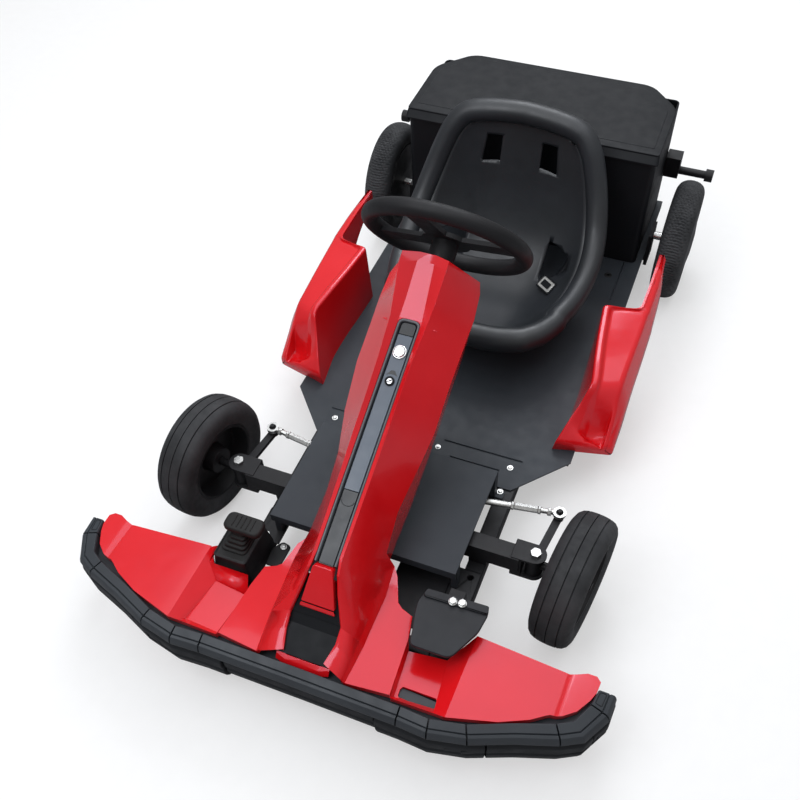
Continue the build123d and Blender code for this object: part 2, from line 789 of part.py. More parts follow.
with BuildPart() as column_tube:
    with BuildSketch(column_plane(TUBE_TO)):
        Circle(17)
    extrude(amount=TUBE_TO - TUBE_FROM)
    with BuildSketch(side_plane(-15)):
        with BuildLine():
            top = column_point(TUBE_FROM + 34)
            low = column_point(TUBE_TO - 4)
            Polyline((top[1], top[2]), (low[1], low[2]), (-218, PAN_Z), (-170, PAN_Z), close=True)
        make_face()
    extrude(amount=30)
    with BuildSketch(column_plane(TUBE_TO + 16)):
        Circle(11.5)
    extrude(amount=TUBE_TO - TUBE_FROM + 24, mode=Mode.SUBTRACT)
finish(column_tube, "column_tube")

# Half outline of the drop arm's plate, from its root to the tie rods' studs
DROP_ARM_HALF = [(11, -11), (14, 10), (STUD_X + 9, DROP_ARM - 10), (STUD_X + 9, DROP_ARM + 9)]

# Steering wheel: rim, hub with spokes, shaft
RIM_R = 140.0
RIM_TUBE = 15.0

rim_section = Plane(origin=column_point(0), x_dir=(1, 0, 0), z_dir=column_plane(0).y_dir)
wheel_axis = Axis(column_point(0), tuple(column_plane(0).z_dir))

with BuildPart() as steering_rim:
    with BuildSketch(rim_section):
        with Locations((RIM_R, 0)):
            Circle(RIM_TUBE)
    revolve(axis=wheel_axis)
finish(steering_rim, "steering_rim")

with BuildPart() as steering_hub:
    with BuildSketch(turned(column_plane(8), WHEEL_TURN)):
        Circle(44)
        for turn in (0, 180, 270):
            with Locations(Rot(0, 0, turn) * Pos(80, 0)):
                Rectangle(122, 38)
    extrude(amount=8)
    with BuildSketch(rim_section):
        with Locations((RIM_R, 0)):
            Circle(RIM_TUBE)
    revolve(axis=wheel_axis, mode=Mode.SUBTRACT)
finish(steering_hub, "steering_hub")

with BuildPart() as steering_shaft:
    with BuildSketch(column_plane(UPPER_LENGTH - 16)):
        Circle(10)
    extrude(amount=UPPER_LENGTH - 24)
    with BuildSketch(column_plane(40)):
        Circle(24)
    extrude(amount=32)
    # cup of the ball joint
    with BuildSketch(column_plane(UPPER_LENGTH - 6)):
        Circle(18)
    extrude(amount=22)
    with Locations((0, JOINT_Y, JOINT_Z)):
        Sphere(13.5, mode=Mode.SUBTRACT)
finish(steering_shaft, "steering_shaft")

with BuildPart() as lower_shaft:
    with BuildSketch(lower_plane(-6)):
        Circle(10)
    extrude(amount=JOINT_T + 6 - 8)
    with Locations((0, JOINT_Y, JOINT_Z)):
        Sphere(12.5)
    # drop arm with the two studs of the tie rods
    with BuildSketch(lower_plane(-6)):
        with BuildLine():
            Polyline(*mirrored(DROP_ARM_HALF), close=True)
        make_face()
    extrude(amount=6)
    with BuildSketch(lower_plane(-6)):
        for sx in (1, -1):
            with Locations((sx * STUD_X, DROP_ARM)):
                Circle(3.2)
    extrude(amount=28)
finish(lower_shaft, "lower_shaft")

# Wheels, knuckles and tie rods of each side
RIM_LIP_R = 80.0
RIM_BORE = 15.0
TYRE_SHOULDER = 17.0
REAR_RIM_R = 88.0
EYE_R = 12.0
EYE_T = 8.0
EYE_Z = ARM_Z + 4.5
BALL_R = 6.5
INNER_EYE_BORE = 8.4

for side, sx, turn in SIDES:
    kingpin = Plane(origin=(sx * KINGPIN_X, FRONT_AXLE_Y, 0), z_dir=(0, 0, 1)).rotated((0, 0, turn))
    hub = Pos(sx * KINGPIN_X, FRONT_AXLE_Y, FRONT_R) * Rot(0, 0, turn)
    centre = kingpin.from_local_coords((0, 0, FRONT_R))
    across = Plane(origin=centre, x_dir=kingpin.y_dir, z_dir=kingpin.x_dir * sx)

    with BuildPart() as knuckle:
        with BuildSketch(kingpin.offset(FORK_LOW + FORK_T + 0.5)):
            Circle(KNUCKLE_R)
        extrude(amount=FORK_TOP - FORK_LOW - 2 * FORK_T - 1)
        with BuildSketch(across):
            Circle(8)
        extrude(amount=FRONT_OFFSET + 34)
        with BuildSketch(kingpin.offset(ARM_Z - 4)):
            with Locations((0, ARM_LENGTH / 2)):
                Rectangle(14, ARM_LENGTH)
            with Locations((0, ARM_LENGTH)):
                Circle(9)
        extrude(amount=-9)
        with BuildSketch(kingpin.offset(FORK_TOP)):
            Circle(5.3)
        extrude(amount=-FORK_TOP, mode=Mode.SUBTRACT)
        # ball stud of the tie rod
        with BuildSketch(kingpin.offset(EYE_Z + 9.5)):
            with Locations((0, ARM_LENGTH)):
                Circle(4)
        extrude(amount=-20)
        with Locations(kingpin.from_local_coords((0, ARM_LENGTH, EYE_Z))):
            Sphere(BALL_R)
    finish(knuckle, f"knuckle_{side}")

    with BuildPart() as front_tyre:
        with BuildSketch(Plane.XY):
            with BuildLine():
                w = FRONT_W / 2
                Polyline(
                    (-w + 8, RIM_LIP_R), (-w, RIM_LIP_R + 16), (-w, FRONT_R - TYRE_SHOULDER),
                    (-w + 7, FRONT_R - 5), (-w + TYRE_SHOULDER, FRONT_R), (w - TYRE_SHOULDER, FRONT_R),
                    (w - 7, FRONT_R - 5), (w, FRONT_R - TYRE_SHOULDER), (w, RIM_LIP_R + 16),
                    (w - 8, RIM_LIP_R),
                    close=True,
                )
            make_face()
        revolve(axis=Axis.X)
        front_tyre.part = hub * Pos(sx * FRONT_OFFSET, 0, 0) * front_tyre.part
    finish(front_tyre, f"front_tyre_{side}")

    with BuildPart() as front_rim:
        with BuildSketch(Plane.XY):
            with BuildLine():
                w = FRONT_W / 2
                Polyline(
                    (-w + 6, RIM_LIP_R), (-w + 6, RIM_LIP_R - 6), (-10, RIM_LIP_R - 14), (-10, 30),
                    (-26, 26), (-26, 8.4), (26, 8.4), (26, 26), (2, 30), (2, RIM_LIP_R - 14),
                    (w - 6, RIM_LIP_R - 6), (w - 6, RIM_LIP_R), close=True,
                )
            make_face()
        revolve(axis=Axis.X)
        front_rim.part = hub * Pos(sx * FRONT_OFFSET, 0, 0) * front_rim.part
    finish(front_rim, f"front_rim_{side}")

    with BuildPart() as rear_tyre:
        with BuildSketch(Plane.XY):
            with BuildLine():
                w = REAR_W / 2
                Polyline(
                    (-w + 6, REAR_RIM_R), (-w, REAR_RIM_R + 14), (-w + 2, REAR_R - 18),
                    (-w + 11, REAR_R - 6), (-w + 22, REAR_R), (w - 22, REAR_R), (w - 11, REAR_R - 6),
                    (w - 2, REAR_R - 18), (w, REAR_RIM_R + 14), (w - 6, REAR_RIM_R), close=True,
                )
            make_face()
        revolve(axis=Axis.X)
        rear_tyre.part = Pos(sx * REAR_X, REAR_AXLE_Y, REAR_R) * rear_tyre.part
    finish(rear_tyre, f"rear_tyre_{side}")

    with BuildPart() as rear_hub:
        with BuildSketch(Plane.XY):
            with BuildLine():
                w = REAR_W / 2
                Polyline(
                    (-w + 4, REAR_RIM_R), (-w + 4, REAR_RIM_R - 10), (-w + 1, 30), (-w + 1, 9.4),
                    (w - 6, 9.4), (w - 6, 0), (w + 4, 0), (w + 4, 22), (w - 2, REAR_RIM_R - 10),
                    (w - 4, REAR_RIM_R), close=True,
                )
            make_face()
        revolve(axis=Axis.X)
        flip = Rot(0, 0, 0) if sx > 0 else Rot(0, 0, 180)
        rear_hub.part = Pos(sx * REAR_X, REAR_AXLE_Y, REAR_R) * flip * rear_hub.part
    finish(rear_hub, f"rear_hub_{side}")

    eye = Vector(kingpin.from_local_coords((0, ARM_LENGTH, EYE_Z)))
    inner_eye = lower_plane(6)
    pitman = Vector(inner_eye.from_local_coords((sx * STUD_X, DROP_ARM, 0)))
    run = (pitman - eye).normalized()
    with BuildPart() as tie_rod:
        with BuildSketch(Plane.XY.offset(EYE_Z - EYE_T / 2)):
            with Locations((eye.X, eye.Y)):
                Circle(EYE_R)
        extrude(amount=EYE_T)
        with BuildSketch(inner_eye.offset(-EYE_T / 2)):
            with Locations((sx * STUD_X, DROP_ARM)):
                Circle(EYE_R)
        extrude(amount=EYE_T)
        with BuildSketch(Plane(origin=eye + run * 9, z_dir=run)):
            Circle(5)
        extrude(amount=(pitman - eye).length - 18.5)
        with BuildSketch(Plane.XY.offset(EYE_Z - EYE_T)):
            with Locations((eye.X, eye.Y)):
                Circle(BALL_R + 0.6)
        extrude(amount=2 * EYE_T, mode=Mode.SUBTRACT)
        with BuildSketch(inner_eye.offset(-EYE_T)):
            with Locations((sx * STUD_X, DROP_ARM)):
                Circle(INNER_EYE_BORE)
        extrude(amount=2 * EYE_T, mode=Mode.SUBTRACT)
    finish(tie_rod, f"tie_rod_{side}")
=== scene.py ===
import math

import bmesh
import bpy
from mathutils import Matrix, Vector


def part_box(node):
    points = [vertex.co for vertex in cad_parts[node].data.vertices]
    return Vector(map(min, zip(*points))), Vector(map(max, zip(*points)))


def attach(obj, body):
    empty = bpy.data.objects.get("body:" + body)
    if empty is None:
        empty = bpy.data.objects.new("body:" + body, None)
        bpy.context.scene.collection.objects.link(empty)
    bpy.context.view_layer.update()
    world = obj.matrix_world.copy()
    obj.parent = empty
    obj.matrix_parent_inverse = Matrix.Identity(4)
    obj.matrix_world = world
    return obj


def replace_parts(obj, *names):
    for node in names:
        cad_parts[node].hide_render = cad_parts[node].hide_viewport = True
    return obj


# Kids electric go-kart. Points are written in millimetres: the front is towards -Y, the kart's left is +X.
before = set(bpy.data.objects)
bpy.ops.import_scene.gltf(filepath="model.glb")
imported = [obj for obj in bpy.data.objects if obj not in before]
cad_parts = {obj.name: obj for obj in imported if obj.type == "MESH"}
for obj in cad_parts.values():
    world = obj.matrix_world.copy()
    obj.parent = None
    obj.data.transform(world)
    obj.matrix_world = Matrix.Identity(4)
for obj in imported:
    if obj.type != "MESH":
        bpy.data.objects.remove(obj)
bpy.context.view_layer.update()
scene = bpy.context.scene
MM = 0.001

# Camera, as it stood when the photograph was taken
CAMERA_AT = Vector((426.4, -1183.3, 1512.5)) * MM
LOOK_RIGHT = Vector((0.93036, 0.36525, -0.0321))
LOOK_DOWN = Vector((0.28052, -0.76542, -0.57917))
LOOK_AHEAD = Vector((-0.23611, 0.52983, -0.81457))
LENS = 40.0
SENSOR = 36.0
SHIFT = (-0.015, 0.10)
SEEN_FROM, SEEN_TO = 0.05, 30.0


def make_camera():
    data = bpy.data.cameras.new("camera")
    data.lens, data.sensor_width = LENS, SENSOR
    data.shift_x, data.shift_y = SHIFT
    data.clip_start, data.clip_end = SEEN_FROM, SEEN_TO
    camera = bpy.data.objects.new("camera", data)
    turn = Matrix((LOOK_RIGHT, -LOOK_DOWN, -LOOK_AHEAD)).transposed()
    camera.matrix_world = Matrix.Translation(CAMERA_AT) @ turn.to_4x4()
    scene.collection.objects.link(camera)
    scene.camera = camera


# Materials

class Tree:
    """A node tree, with short ways to add and link nodes."""

    def __init__(self, tree):
        self.tree = tree

    def add(self, kind, inputs=(), **settings):
        node = self.tree.nodes.new(kind)
        for key, value in settings.items():
            setattr(node, key, value)
        for key, value in dict(inputs).items():
            self.feed(node.inputs[key], value)
        return node

    def feed(self, socket, value):
        if isinstance(value, bpy.types.NodeSocket):
            self.tree.links.new(value, socket)
        else:
            socket.default_value = value


class Shader(Tree):
    """One material's node tree."""

    def __init__(self, name):
        self.material = bpy.data.materials.new(name)
        self.material.use_nodes = True
        super().__init__(self.material.node_tree)
        self.base = self.tree.nodes["Principled BSDF"]
        self.where = self.add("ShaderNodeTexCoord").outputs["Object"]

    def set(self, **values):
        for key, value in values.items():
            self.feed(self.base.inputs[key.replace("_", " ")], value)

    def noise(self, scale, detail=3.0):
        inputs = {"Vector": self.where, "Scale": scale, "Detail": detail}
        return self.add("ShaderNodeTexNoise", inputs).outputs["Fac"]

    def spread(self, value, low, high, start=0.35, end=0.65):
        inputs = {"Value": value, "From Min": start, "From Max": end, "To Min": low, "To Max": high}
        return self.add("ShaderNodeMapRange", inputs).outputs[0]

    def blend(self, share, first, second):
        node = self.add("ShaderNodeMix", data_type="RGBA")
        for key, value in (("Factor_Float", share), ("A_Color", first), ("B_Color", second)):
            self.feed(next(s for s in node.inputs if s.identifier == key), value)
        return next(s for s in node.outputs if s.identifier == "Result_Color")

    def bump(self, height, depth, under=None):
        inputs = {"Height": height, "Distance": depth * MM, "Strength": 1.0}
        if under is not None:
            inputs["Normal"] = under
        return self.add("ShaderNodeBump", inputs).outputs[0]


# Gloss varies in patches this many times finer than the colour
GLOSS_FINER = 7
COAT_ROUGHNESS = 0.06
WHITE = (1, 1, 1)
MATERIALS = {}


def rgba(color):
    return (*color, 1.0)


def finish(name, color, second, rough, grain, waves=None, coat=0.0, metallic=0.0, patch=6.0, shine=0.5,
           tint=WHITE):
    """A surface of two close colours with uneven gloss. Its grain and waves are (scale, depth in mm)."""
    s = Shader(name)
    patches = s.spread(s.noise(patch, 5.0), 0.0, 1.0)
    gloss = s.spread(s.noise(patch * GLOSS_FINER, 6.0), *rough, 0.3, 0.7)
    normal = s.bump(s.noise(waves[0], 2.0), waves[1]) if waves else None
    normal = s.bump(s.noise(grain[0], 2.0), grain[1], normal)
    s.set(Base_Color=s.blend(patches, rgba(color), rgba(second)), Roughness=gloss, Normal=normal,
          Metallic=metallic, Coat_Weight=coat, Coat_Roughness=COAT_ROUGHNESS, Specular_IOR_Level=shine,
          Specular_Tint=rgba(tint))
    MATERIALS[name] = s.material


# The finishes, each by its two colours, roughness from and to, grain, and what else it has
finish("red_plastic", (0.64, 0.004, 0.007), (0.7, 0.008, 0.011), (0.14, 0.22), (700, 0.008),
       waves=(16, 0.35), coat=0.4, tint=(0.9, 0.75, 1.0))
finish("frame_black", (0.008, 0.008, 0.009), (0.013, 0.013, 0.015), (0.4, 0.54), (1400, 0.05), shine=0.3)
finish("pan_black", (0.028, 0.033, 0.04), (0.036, 0.042, 0.05), (0.46, 0.58), (1600, 0.05),
       waves=(9, 0.4), shine=0.28)
finish("pedal_black", (0.011, 0.012, 0.015), (0.016, 0.018, 0.022), (0.4, 0.52), (1300, 0.04), shine=0.3)
finish("trim_black", (0.006, 0.007, 0.009), (0.009, 0.01, 0.012), (0.44, 0.56), (1500, 0.035),
       waves=(14, 0.3), shine=0.16)
finish("seat_black", (0.013, 0.015, 0.018), (0.018, 0.021, 0.026), (0.38, 0.48), (1500, 0.03),
       waves=(18, 0.3), shine=0.62)
finish("bumper_black", (0.026, 0.03, 0.036), (0.036, 0.042, 0.049), (0.42, 0.58), (1200, 0.05),
       waves=(20, 0.2), shine=0.4)
# The bumper's lower tier: a darker plastic than its top, and partly painted shade from the upper tier's
# overhang
finish("bumper_dark_and_painted_shade", (0.008, 0.009, 0.011), (0.014, 0.016, 0.019), (0.42, 0.6), (900, 0.1),
       waves=(60, 0.4), shine=0.25)
finish("dash_grey", (0.075, 0.095, 0.125), (0.1, 0.122, 0.155), (0.28, 0.4), (1400, 0.02))
finish("dash_edge", (0.085, 0.09, 0.1), (0.11, 0.118, 0.13), (0.28, 0.4), (1400, 0.02))
finish("dash_dark", (0.02, 0.022, 0.025), (0.03, 0.033, 0.037), (0.32, 0.44), (1400, 0.02))
finish("rubber", (0.009, 0.009, 0.009), (0.015, 0.015, 0.015), (0.5, 0.66), (1100, 0.05), shine=0.3)
finish("rim_foam", (0.007, 0.007, 0.008), (0.012, 0.012, 0.014), (0.46, 0.58), (900, 0.08), shine=0.3)
finish("tyre", (0.019, 0.02, 0.022), (0.042, 0.043, 0.046), (0.58, 0.8), (800, 0.08),
       patch=14.0, shine=0.35)
finish("zinc", (0.72, 0.72, 0.7), (0.55, 0.55, 0.54), (0.22, 0.42), (1800, 0.02), metallic=1.0, patch=60.0)
finish("chrome", (0.86, 0.86, 0.86), (0.78, 0.78, 0.78), (0.08, 0.16), (2500, 0.004),
       metallic=1.0, patch=60.0)
finish("dark_glass", (0.01, 0.012, 0.014), (0.014, 0.016, 0.019), (0.24, 0.34), (900, 0.02))


def dress(obj, name):
    """Gives an object one of the finishes."""
    obj.data.materials.clear()
    obj.data.materials.append(MATERIALS[name])


# Every CAD node, by its finish and the width in mm of its rounded edges
CAD_FINISH = {
    "frame_black": {3: "frame_rails frame_cross_tubes", 2: "front_axle_beam rear_guard",
                    1.5: "frame_outriggers bumper_stays brake_bracket", 1.2: "brake_pedal",
                    1: "pod_brackets seat_mount column_tube steering_hub steering_shaft knuckle_left"
                         " knuckle_right front_rim_left front_rim_right rear_hub_left rear_hub_right"},
    "pan_black": {1.2: "linkage_cover", 1: "floor_pan"},
    "zinc": {1: "rear_stub_axles", 0.6: "kingpin_bolts", 0.5: "lower_shaft tie_rod_left tie_rod_right"},
    "red_plastic": {5: "side_pod_left side_pod_right", 3: "column_cover", 2: "nose_fairing",
                    1.5: "nose_insert"},
    "trim_black": {3: "rear_lid", 2: "rear_box", 1: "nose_grille battery_block"},
    "bumper_black": {4: "bumper_upper bumper_lower"},
    "seat_black": {1.5: "seat_shell"},
    "dash_grey": {1.2: "dash_strip"},
    "chrome": {1: "dash_controls"},
    "rubber": {2: "throttle_base throttle_pad", 1: "throttle_boot"},
    "rim_foam": {0: "steering_rim"},
    "tyre": {0: "front_tyre_left front_tyre_right rear_tyre_left rear_tyre_right"},
}


def round_edges(obj, width, segments=3, angle=32):
    """Rounds the sharp edges of a piece by a width in mm, with even shading."""
    obj.modifiers.new("weld", "WELD").merge_threshold = 0.00002
    bevel = obj.modifiers.new("bevel", "BEVEL")
    bevel.width, bevel.segments = width * MM, segments
    bevel.limit_method, bevel.angle_limit = "ANGLE", math.radians(angle)
    bevel.harden_normals = True
    obj.modifiers.new("even", "WEIGHTED_NORMAL").keep_sharp = True


def dress_cad():
    for look, widths in CAD_FINISH.items():
        for width, names in widths.items():
            for name in names.split():
                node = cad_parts[name]
                dress(node, look)
                if width:
                    round_edges(node, width)


# Shapes

class Shape:
    """Points in millimetres and the faces between them, gathered into one mesh."""

    def __init__(self):
        self.points, self.faces = [], []

    def face(self, *corners):
        self.faces.append(range(len(self.points), len(self.points) + len(corners)))
        self.points += [Vector(c) for c in corners]
        return self

    def rows(self, rows, closed=False, caps=False):
        """Quads between rows of points. Closed joins each row's end to its start."""
        for first, second in zip(rows, rows[1:]):
            count = len(first)
            for i in range(count if closed else count - 1):
                j = (i + 1) % count
                self.face(first[i], first[j], second[j], second[i])
        if caps:
            self.face(*rows[0])
            self.face(*rows[-1])
        return self

    def solid(self, rings):
        """A body with walls between its rings of points, closed at both ends."""
        return self.rows(rings, closed=True, caps=True)

    def prism(self, outline, move):
        """A body between an outline and the same outline moved by a vector."""
        return self.solid([moved(outline), moved(outline, *move)])

    def lathe(self, profile, place, steps=64, caps=False):
        """A profile of (along, radius), turned about the Z axis of a matrix in mm."""
        turns = [2 * math.pi * i / steps for i in range(steps)]
        rings = [[place @ Vector((r * math.cos(t), r * math.sin(t), z)) for t in turns] for z, r in profile]
        return self.rows(rings, closed=True, caps=caps)

    def sweep(self, path, radius, sides=14, closed=False):
        """A round tube along a path of points, with one radius or one for each point."""
        path = [Vector(p) for p in path]
        count = len(path)
        radii = radius if isinstance(radius, list) else [radius] * count
        rings, side = [], None
        for i, p in enumerate(path):
            if closed:
                along = path[(i + 1) % count] - path[i - 1]
            else:
                along = path[min(i + 1, count - 1)] - path[max(i - 1, 0)]
            along.normalize()
            if side is None:
                side = along.orthogonal().normalized()
            side = (side - along * side.dot(along)).normalized()
            other = along.cross(side)
            turns = [2 * math.pi * k / sides for k in range(sides)]
            rings.append([p + (side * math.cos(t) + other * math.sin(t)) * radii[i] for t in turns])
        if closed:
            rings.append(nearest_turn(rings[-1], rings[0]))
        return self.rows(rings, closed=True, caps=not closed)

    def mirrored(self):
        """Adds the mirror image across the kart's middle."""
        count = len(self.points)
        self.points += [Vector((-p.x, p.y, p.z)) for p in self.points]
        self.faces += [[count + i for i in reversed(face)] for face in list(self.faces)]
        return self

    def build(self, name, look, body="root", merge=0.05, smooth=True):
        mesh = bpy.data.meshes.new(name)
        mesh.from_pydata([p * MM for p in self.points], [], [list(f) for f in self.faces])
        data = bmesh.new()
        data.from_mesh(mesh)
        bmesh.ops.remove_doubles(data, verts=data.verts, dist=merge * MM)
        bmesh.ops.recalc_face_normals(data, faces=data.faces)
        data.to_mesh(mesh)
        data.free()
        if smooth:
            mesh.shade_smooth()
        obj = bpy.data.objects.new(name, mesh)
        scene.collection.objects.link(obj)
        dress(obj, look)
        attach(obj, body)
        return obj


def nearest_turn(last, first):
    """The first ring, started at the point that is nearest to the last ring's start."""
    start = min(range(len(first)), key=lambda i: (first[i] - last[0]).length)
    return first[start:] + first[:start]


def frame_at(origin, axis, side=None):
    """A matrix at a point in mm whose Z runs along an axis."""
    z = Vector(axis).normalized()
    x = Vector(side) if side else z.orthogonal()
    x = (x - z * x.dot(z)).normalized()
    turn = Matrix((x, z.cross(x), z)).transposed()
    return Matrix.Translation(Vector(origin)) @ turn.to_4x4()


def thicken(obj, thickness, offset=-1):
    solid = obj.modifiers.new("wall", "SOLIDIFY")
    solid.thickness, solid.offset = thickness * MM, offset
    solid.use_even_offset = True
    return obj


def curve_through(points, count):
    """Points spaced evenly along a smooth curve through the given ones."""
    points = [Vector(p) for p in points]
    last = len(points) - 1
    out = []
    for i in range(count):
        t = i * last / (count - 1)
        k = min(int(t), last - 1)
        u = t - k
        a, b, c, d = [points[min(max(j, 0), last)] for j in range(k - 1, k + 3)]
        out.append(0.5 * (2 * b + (c - a) * u + (2 * a - 5 * b + 4 * c - d) * u * u
                          + (3 * b - a - 3 * c + d) * u ** 3))
    return out


def bend(start, corner, end, steps):
    """Points of a soft bend between two points, towards a corner."""
    shares = [k / steps for k in range(steps + 1)]
    return [start * (1 - u) ** 2 + corner * 2 * u * (1 - u) + end * u ** 2 for u in shares]


def rounded(corners, radii, steps=5):
    """A flat outline whose corners are rounded, by one radius or one for each corner."""
    corners = [Vector(c) for c in corners]
    out = []
    for i, corner in enumerate(corners):
        before, after = corners[i - 1] - corner, corners[(i + 1) % len(corners)] - corner
        radius = radii[i] if isinstance(radii, list) else radii
        start, end = corner + before.normalized() * radius, corner + after.normalized() * radius
        out += bend(start, corner, end, steps)
    return out


def box_ring(half_x, half_y, radius, middle=(0, 0), steps=5):
    """A flat rectangle with rounded corners."""
    x, y = middle
    signs = ((-1, -1), (1, -1), (1, 1), (-1, 1))
    return rounded([(x + a * half_x, y + b * half_y) for a, b in signs], radius, steps)


def level(outline, z):
    """A flat outline, laid at a height."""
    return [Vector((p[0], p[1], z)) for p in outline]


def moved(points, x=0, y=0, z=0):
    """The points as vectors, moved along each axis."""
    return [Vector(p) + Vector((x, y, z)) for p in points]


# Nose and column cover: one red moulding, each half given by its corners on the +X side

COVER_ROWS = [
    # edge of the dash strip, crease beside it, side edge, foot
    [(15, -109, 532), (41, -122, 538), (77, -64, 454), (76, -62, 434)],
    [(15, -122, 524), (41, -138, 527), (84, -84, 446), (80, -84, 418)],
    [(18, -170, 482), (37, -176, 492), (88, -124, 424), (82, -128, 392)],
    [(20, -196, 462), (33, -203, 470), (87, -167, 406), (82, -176, 366)],
    [(20, -272, 428), (29, -272, 438), (86, -240, 376), (80, -250, 322)],
    [(20, -333, 400), (28, -333, 408), (83, -310, 326), (74, -318, 262)],
    [(20, -388, 375), (28, -388, 381), (72, -374, 284), (66, -380, 205)],
    [(20, -445, 349), (27, -445, 352), (66, -440, 262), (63, -445, 180)],
    [(20, -515, 317), (26, -515, 318), (70, -505, 232), (66, -505, 172)],
    [(20, -571, 291), (25, -571, 292), (79, -555, 212), (76, -555, 172)],
    [(24, -594, 276), (28, -596, 277), (80, -585, 204), (79, -585, 172)],
    [(31, -614, 250), (34, -616, 251), (80, -612, 197), (80, -612, 168)],
    [(45, -645, 202), (47, -646, 203), (79, -650, 188), (80, -650, 166)],
    [(44, -668, 184), (48, -670, 184), (78, -684, 178), (79, -684, 162)],
    [(36, -700, 171), (42, -703, 171), (76, -716, 168), (77, -716, 160)],
]
# The first rows stand above the dash strip, and the others beside its channel
COVER_TOP_ROWS, CHANNEL_FLOOR = 4, 7
# Ledge beside the cover's foot, from this row on: its inner and its outer edge
LEDGE_ROW = 8
LEDGE_IN = [(83, -505, 196), (86, -555, 176), (86, -585, 176), (86, -612, 176), (86, -650, 173),
            (83, -684, 168), (80, -716, 164)]
LEDGE_OUT = [(94, -520, 192), (109, -556, 173), (118, -562, 169), (139, -568, 164), (147, -606, 161),
             (151, -660, 162), (155, -709, 164)]
# Toe well: corners of its floor, top of its front wall, and the slot's outline, as (across, y)
WELL = [(151, -618, 139), (217, -611, 139), (228, -700, 149), (160, -704, 149)]
WELL_FRONT = [(230, -712, 163), (158, -713, 163)]
SLOT = [(167, -682), (224, -682), (228, -688), (229, -698), (224, -702), (170, -705), (165, -700),
        (164, -688)]
# Wing beside the well, the sides and the floor of its groove, and its tip
WING_IN = (252, -560, 157)
WING = [(250, -713, 166), (330, -691, 166), (375, -670, 166), (396, -655, 166)]
GROOVE_IN = [(405, -570.5, 156.5), (402, -651, 165.3)]
GROOVE_LOW = [(413, -570, 153.5), (412, -648.5, 162)]
GROOVE_OUT = [(424, -567.5, 157.5), (421, -646, 165.5)]
WING_TIP = [(440, -560, 157), (455, -559, 155), (463, -567, 156), (461, -588, 159), (455, -604, 161),
            (440, -630, 164)]
# Bar below the opening, as (y, z). Height of the turned-down edges and the slot's wall, and thickness of all
BAR = [(-698, 158), (-704, 163), (-711, 159), (-717, 150)]
TURN_DOWN, SLOT_WALL, NOSE_WALL = 13, 9, 3.4
SLOT_POCKET = (-6, -38)
APRON = [[(-251, -561, 156), (-239, -553, 155), (-241, -588, 149.5)],
         [(-151, -619, 138.5), (-217, -612, 138.5), (-241, -588, 149.5), (-168, -584, 141)]]
# The dash strip's plane: its upper end, with Z square to it
STRIP = frame_at((0, -206, 457.5), (0, -0.4164, 0.9092), (1, 0, 0))
STRIP_TOP, STRIP_END = -11, 420
PANEL_BEND = [(20, 0), (20, STRIP_TOP), (9, STRIP_TOP)]


def on_strip(x, s, height):
    """A point of the dash strip: across, down along it, and above its plane."""
    return STRIP @ Vector((x, -s, height))


def well_z(y):
    """Height of the toe well's floor, which rises towards the bumper."""
    return 139 - (y + 615) * 10 / 87


